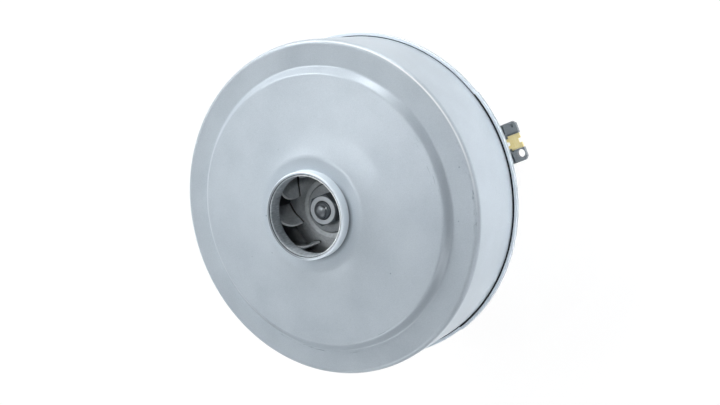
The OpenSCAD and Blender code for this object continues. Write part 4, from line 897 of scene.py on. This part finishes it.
def band(value, middle, reach):
    """A mask of the cover, 1 at a value and falling to 0 at a reach to either side."""
    off = add(tree, "ShaderNodeMath", {0: value, 1: middle}, operation="SUBTRACT").outputs[0]
    off = add(tree, "ShaderNodeMath", {0: off}, operation="ABSOLUTE").outputs[0]
    return add(tree, "ShaderNodeMapRange", {"Value": off, "From Min": reach, "From Max": 0.0},
               interpolation_type="SMOOTHSTEP").outputs[0]


def streaks(long, wide, least, most):
    """Marks drawn out round the axis, long and wide in mm, where a noise is above least."""
    scale = (shoulder_r / long, 1000 / wide, 1000 / wide)
    where = add(tree, "ShaderNodeMapping", {"Vector": spot, "Scale": scale}).outputs[0]
    noise = add(tree, "ShaderNodeTexNoise", {"Vector": where, "Scale": 1.0, "Detail": 2.0}).outputs[0]
    return add(tree, "ShaderNodeMapRange", {"Value": noise, "From Min": least, "From Max": most}).outputs[0]


rubs = [
    (band(radius, 0.0522, 0.0022), band(angle, 0.0, 0.42), streaks(5, 0.5, 0.6, 0.7)),
    (band(radius, 0.0528, 0.0012), band(angle, -1.45, 0.42), streaks(6, 0.4, 0.58, 0.68)),
    (band(radius, 0.0570, 0.0009), band(angle, -2.0, 0.75), streaks(5, 0.5, 0.57, 0.68)),
    (band(radius, 0.0645, 0.0015), band(angle, -0.2, 0.4), streaks(2, 0.6, 0.6, 0.68)),
    (band(z, 0.0885, 0.004), band(angle, -0.235, 0.05), streaks(4, 0.6, 0.62, 0.68)),
]
dots = add(tree, "ShaderNodeTexVoronoi", {"Vector": place, "Scale": 1000 / speck_gap},
           feature="F1").outputs["Distance"]
specks = add(tree, "ShaderNodeMapRange", {"Value": dots, "From Min": 0.045, "From Max": 0.02}).outputs[0]
rare = add(tree, "ShaderNodeTexNoise",
           {"Vector": place, "Scale": 1000 / speck_patch, "Detail": 0.0}).outputs[0]
rare = add(tree, "ShaderNodeMapRange", {"Value": rare, "From Min": 0.52, "From Max": 0.56}).outputs[0]
marks = [merged(tree, "MULTIPLY", *masks) for masks in rubs + [(specks, rare)]]
marks = merged(tree, "MULTIPLY", merged(tree, "MAXIMUM", *marks), 0.8)
# Painted light: the collar's outer wall drawn lighter.
painted_collar_light = beyond(tree, (radius, 0.0175, -0.0004), (radius, 0.0165, 0.0003), (z, 0.1134, 0.0003))
# Painted highlight along the ring's outer edge over one side.
painted_ring_edge_highlight = merged(tree, "MULTIPLY", band(radius, 0.0652, 0.00045), beyond(tree, (z, 0.1035, 0.0003)),
                   band(angle, 0.55, 1.1))
# Painted shadow of the collar on the annulus at its foot, over one side.
corner = merged(tree, "MULTIPLY", beyond(tree, (radius, 0.0180, -0.0016), (z, 0.1136, -0.0005)),
                band(angle, -0.75, 1.7), 0.8)
# Painted shade on the shoulder and the ring's edge over one side.
ring_edge = merged(tree, "MULTIPLY", band(radius, 0.0657, 0.0007), beyond(tree, (z, 0.1028, 0.0003)))
painted_shoulder_shade = merged(tree, "MULTIPLY", merged(tree, "MAXIMUM", band(radius, 0.0545, 0.002), ring_edge),
                band(angle, -0.75, 1.5), 0.45)
# Painted shade on the lip's left side.
painted_lip_shade = beyond(tree, (x, -0.006, -0.008), (radius, 0.01685, -0.0002), (z, 0.1172, 0.0003))
# Painted shade in the gaps at the cover's foot inside the bracket rim and at the fold against the seal ring.
foot = beyond(tree, (z, 0.0723, -0.0003))
fold = beyond(tree, (radius, 0.01602, -0.0001), (z, 0.1130, 0.0002))
painted_gap_shade = merged(tree, "MAXIMUM", foot, fold)
coated(tree, shader, colour, (marks, "#707E8B"), (painted_collar_light, "#DCE6EE"), (painted_ring_edge_highlight, "#F7FAFC"),
       (corner, "#4C545B"), (painted_shoulder_shade, "#757E89"), (painted_lip_shade, "#7E868D"), (painted_gap_shade, "#252A2D"))
cover = solid("cover_shell", *lathe(rounded(cover_outline, degrees_each=5), 360), cover_steel)
stands_for(cover, "casing", "fan_cover")


# Inlet seal ring: a sleeve of grey filled plastic inside the collar, whose flange is caught under the
# cover. Its grain is coarse. A painted highlight lies on its rounded rim at one side, and painted shade
# on its outer face where it stands in the collar's fold.
seal_plastic, tree, shader, colour = surface("grey_filled_plastic", "#7C858C", "#BCC4CA", grain=0.5, patch=4,
                                             roughness=0.6, metallic=0.0, bump=0.05, stretch=(1, 1, 5))
radius, x, y, z = whereabouts(tree)
# Painted highlight on the rim's right side.
rim = beyond(tree, (z, 0.11728, 0.0002), (x, 0.003, 0.006))
# Painted shade on the outer face, in the gap to the collar.
edge = beyond(tree, (radius, 0.01578, 0.0001), (z, 0.1130, 0.0002))
coated(tree, shader, colour, (rim, "#EAEEF1"), (edge, "#1E2225"))
seal_path = rounded([(15.37, 111.3, 0.8), (17.67, 111.3, 0.2), (17.67, 112.2, 0.2), (15.87, 112.2, 0.1),
                     (15.87, 117.5, 0.1), (15.37, 117.5, 0.25)])
seal = solid("seal_sleeve", *lathe(seal_path, 192), seal_plastic)
stands_for(seal, "casing", "inlet_seal_ring")


# Studio: a plain white floor that keeps a soft shadow, soft boxes above and around the part, two lamps that
# light the floor beside it, narrow beams into the inlet and on the fork, and the camera fitted to the
# photograph.
floor_half = 40
floor_mesh = bpy.data.meshes.new("floor")
floor_mesh.from_pydata([(-floor_half, -floor_half, 0), (floor_half, -floor_half, 0),
                        (floor_half, floor_half, 0), (-floor_half, floor_half, 0)], [], [[0, 1, 2, 3]])
floor = in_scene("floor", floor_mesh)
paper = bpy.data.materials.new("white_paper")
paper.use_nodes = True
tree = paper.node_tree
tree.nodes.clear()
ray = add(tree, "ShaderNodeLightPath").outputs
matt = add(tree, "ShaderNodeBsdfDiffuse", {"Color": linear("#F4F5F6")}).outputs[0]
glow = add(tree, "ShaderNodeEmission", {"Color": (1, 1, 1, 1), "Strength": 1.05}).outputs[0]
seen = merged(tree, "MAXIMUM", ray["Is Camera Ray"], ray["Is Glossy Ray"], ray["Is Transmission Ray"])
share = merged(tree, "MULTIPLY", seen, 0.86)
mixed = add(tree, "ShaderNodeMixShader", {0: share, 1: matt, 2: glow}).outputs[0]
add(tree, "ShaderNodeOutputMaterial", {"Surface": mixed})
floor_mesh.materials.append(paper)

world = bpy.data.worlds.new("studio")
bpy.context.scene.world = world
world.use_nodes = True
tree = world.node_tree
tree.nodes.clear()
seen = add(tree, "ShaderNodeLightPath").outputs["Is Camera Ray"]
level = add(tree, "ShaderNodeMapRange", {"Value": seen, "To Min": 0.29, "To Max": 1.0}).outputs[0]
sky = add(tree, "ShaderNodeBackground", {"Color": linear("#F3F6F9"), "Strength": level}).outputs[0]
add(tree, "ShaderNodeOutputWorld", {"Surface": sky})


def hung(name, kind, place, aim, power):
    """A lamp at its place in metres, turned to its aim, with its power in watts."""
    lamp = bpy.data.lights.new(name, kind)
    lamp.energy = power
    made = in_scene(name, lamp)
    made.location = place
    made.rotation_euler = (Vector(aim) - Vector(place)).to_track_quat("-Z", "Y").to_euler()
    return lamp


part_middle, inlet, fork = (0, 0, 0.09), (0, 0, 0.117), (0.058, -0.002, 0.027)
soft_boxes = [((-0.31, 0.39, 1.31), 0.25, 1.5), ((-0.75, 0.3, 0.9), 0.5, 0.6), ((-0.3, 0.8, 1.0), 0.5, 2.0),
              ((-0.4, 1.15, 0.6), 0.8, 11.2), ((-0.5, -0.9, 0.8), 0.6, 4.2), ((0.6, 1.3, 0.2), 0.36, 8.0),
              ((0.8, -1.15, 0.2), 0.36, 3.2), ((-1.4, 0.2, 0.2), 0.36, 1.2)]
floor_lights = [((0.5, -0.1, 0.1), 0.3, 4.3), ((0.25, -0.45, 0.1), 0.3, 1.4)]
beams = [((-0.12, 0.25, 1.35), inlet, 1.5, 122), ((0.6, 0.1, 1.2), inlet, 1.5, 112),
         ((0.75, -0.03, 0.5), fork, 2.8, 55)]
for name, lamps in (("soft_box", soft_boxes), ("floor_light", floor_lights)):
    for place, size, power in lamps:
        aim = part_middle if name == "soft_box" else (place[0], place[1], 0)
        lamp = hung(name, "AREA", place, aim, power)
        lamp.shape = "DISK"
        lamp.size = size
for place, aim, spread, power in beams:
    lamp = hung("narrow_beam", "SPOT", place, aim, power)
    lamp.spot_size = radians(spread)
    lamp.spot_blend = 0.3
    lamp.shadow_soft_size = 0.06

camera = in_scene("camera", bpy.data.cameras.new("camera"))
forward = Vector((-0.519, 0.019, -0.8545)).normalized()
right = Vector((0.7983, -0.3456, -0.493))
right = (right - forward * right.dot(forward)).normalized()
up = right.cross(forward)
turned = Matrix((right, up, -forward)).transposed().to_4x4()
camera.matrix_world = Matrix.Translation((0.22695, -0.010, 0.4498)) @ turned
camera.data.sensor_width = 36
camera.data.lens = 53.09
camera.data.clip_start = 0.01
bpy.context.scene.camera = camera
bpy.context.scene.view_settings.view_transform = "Standard"
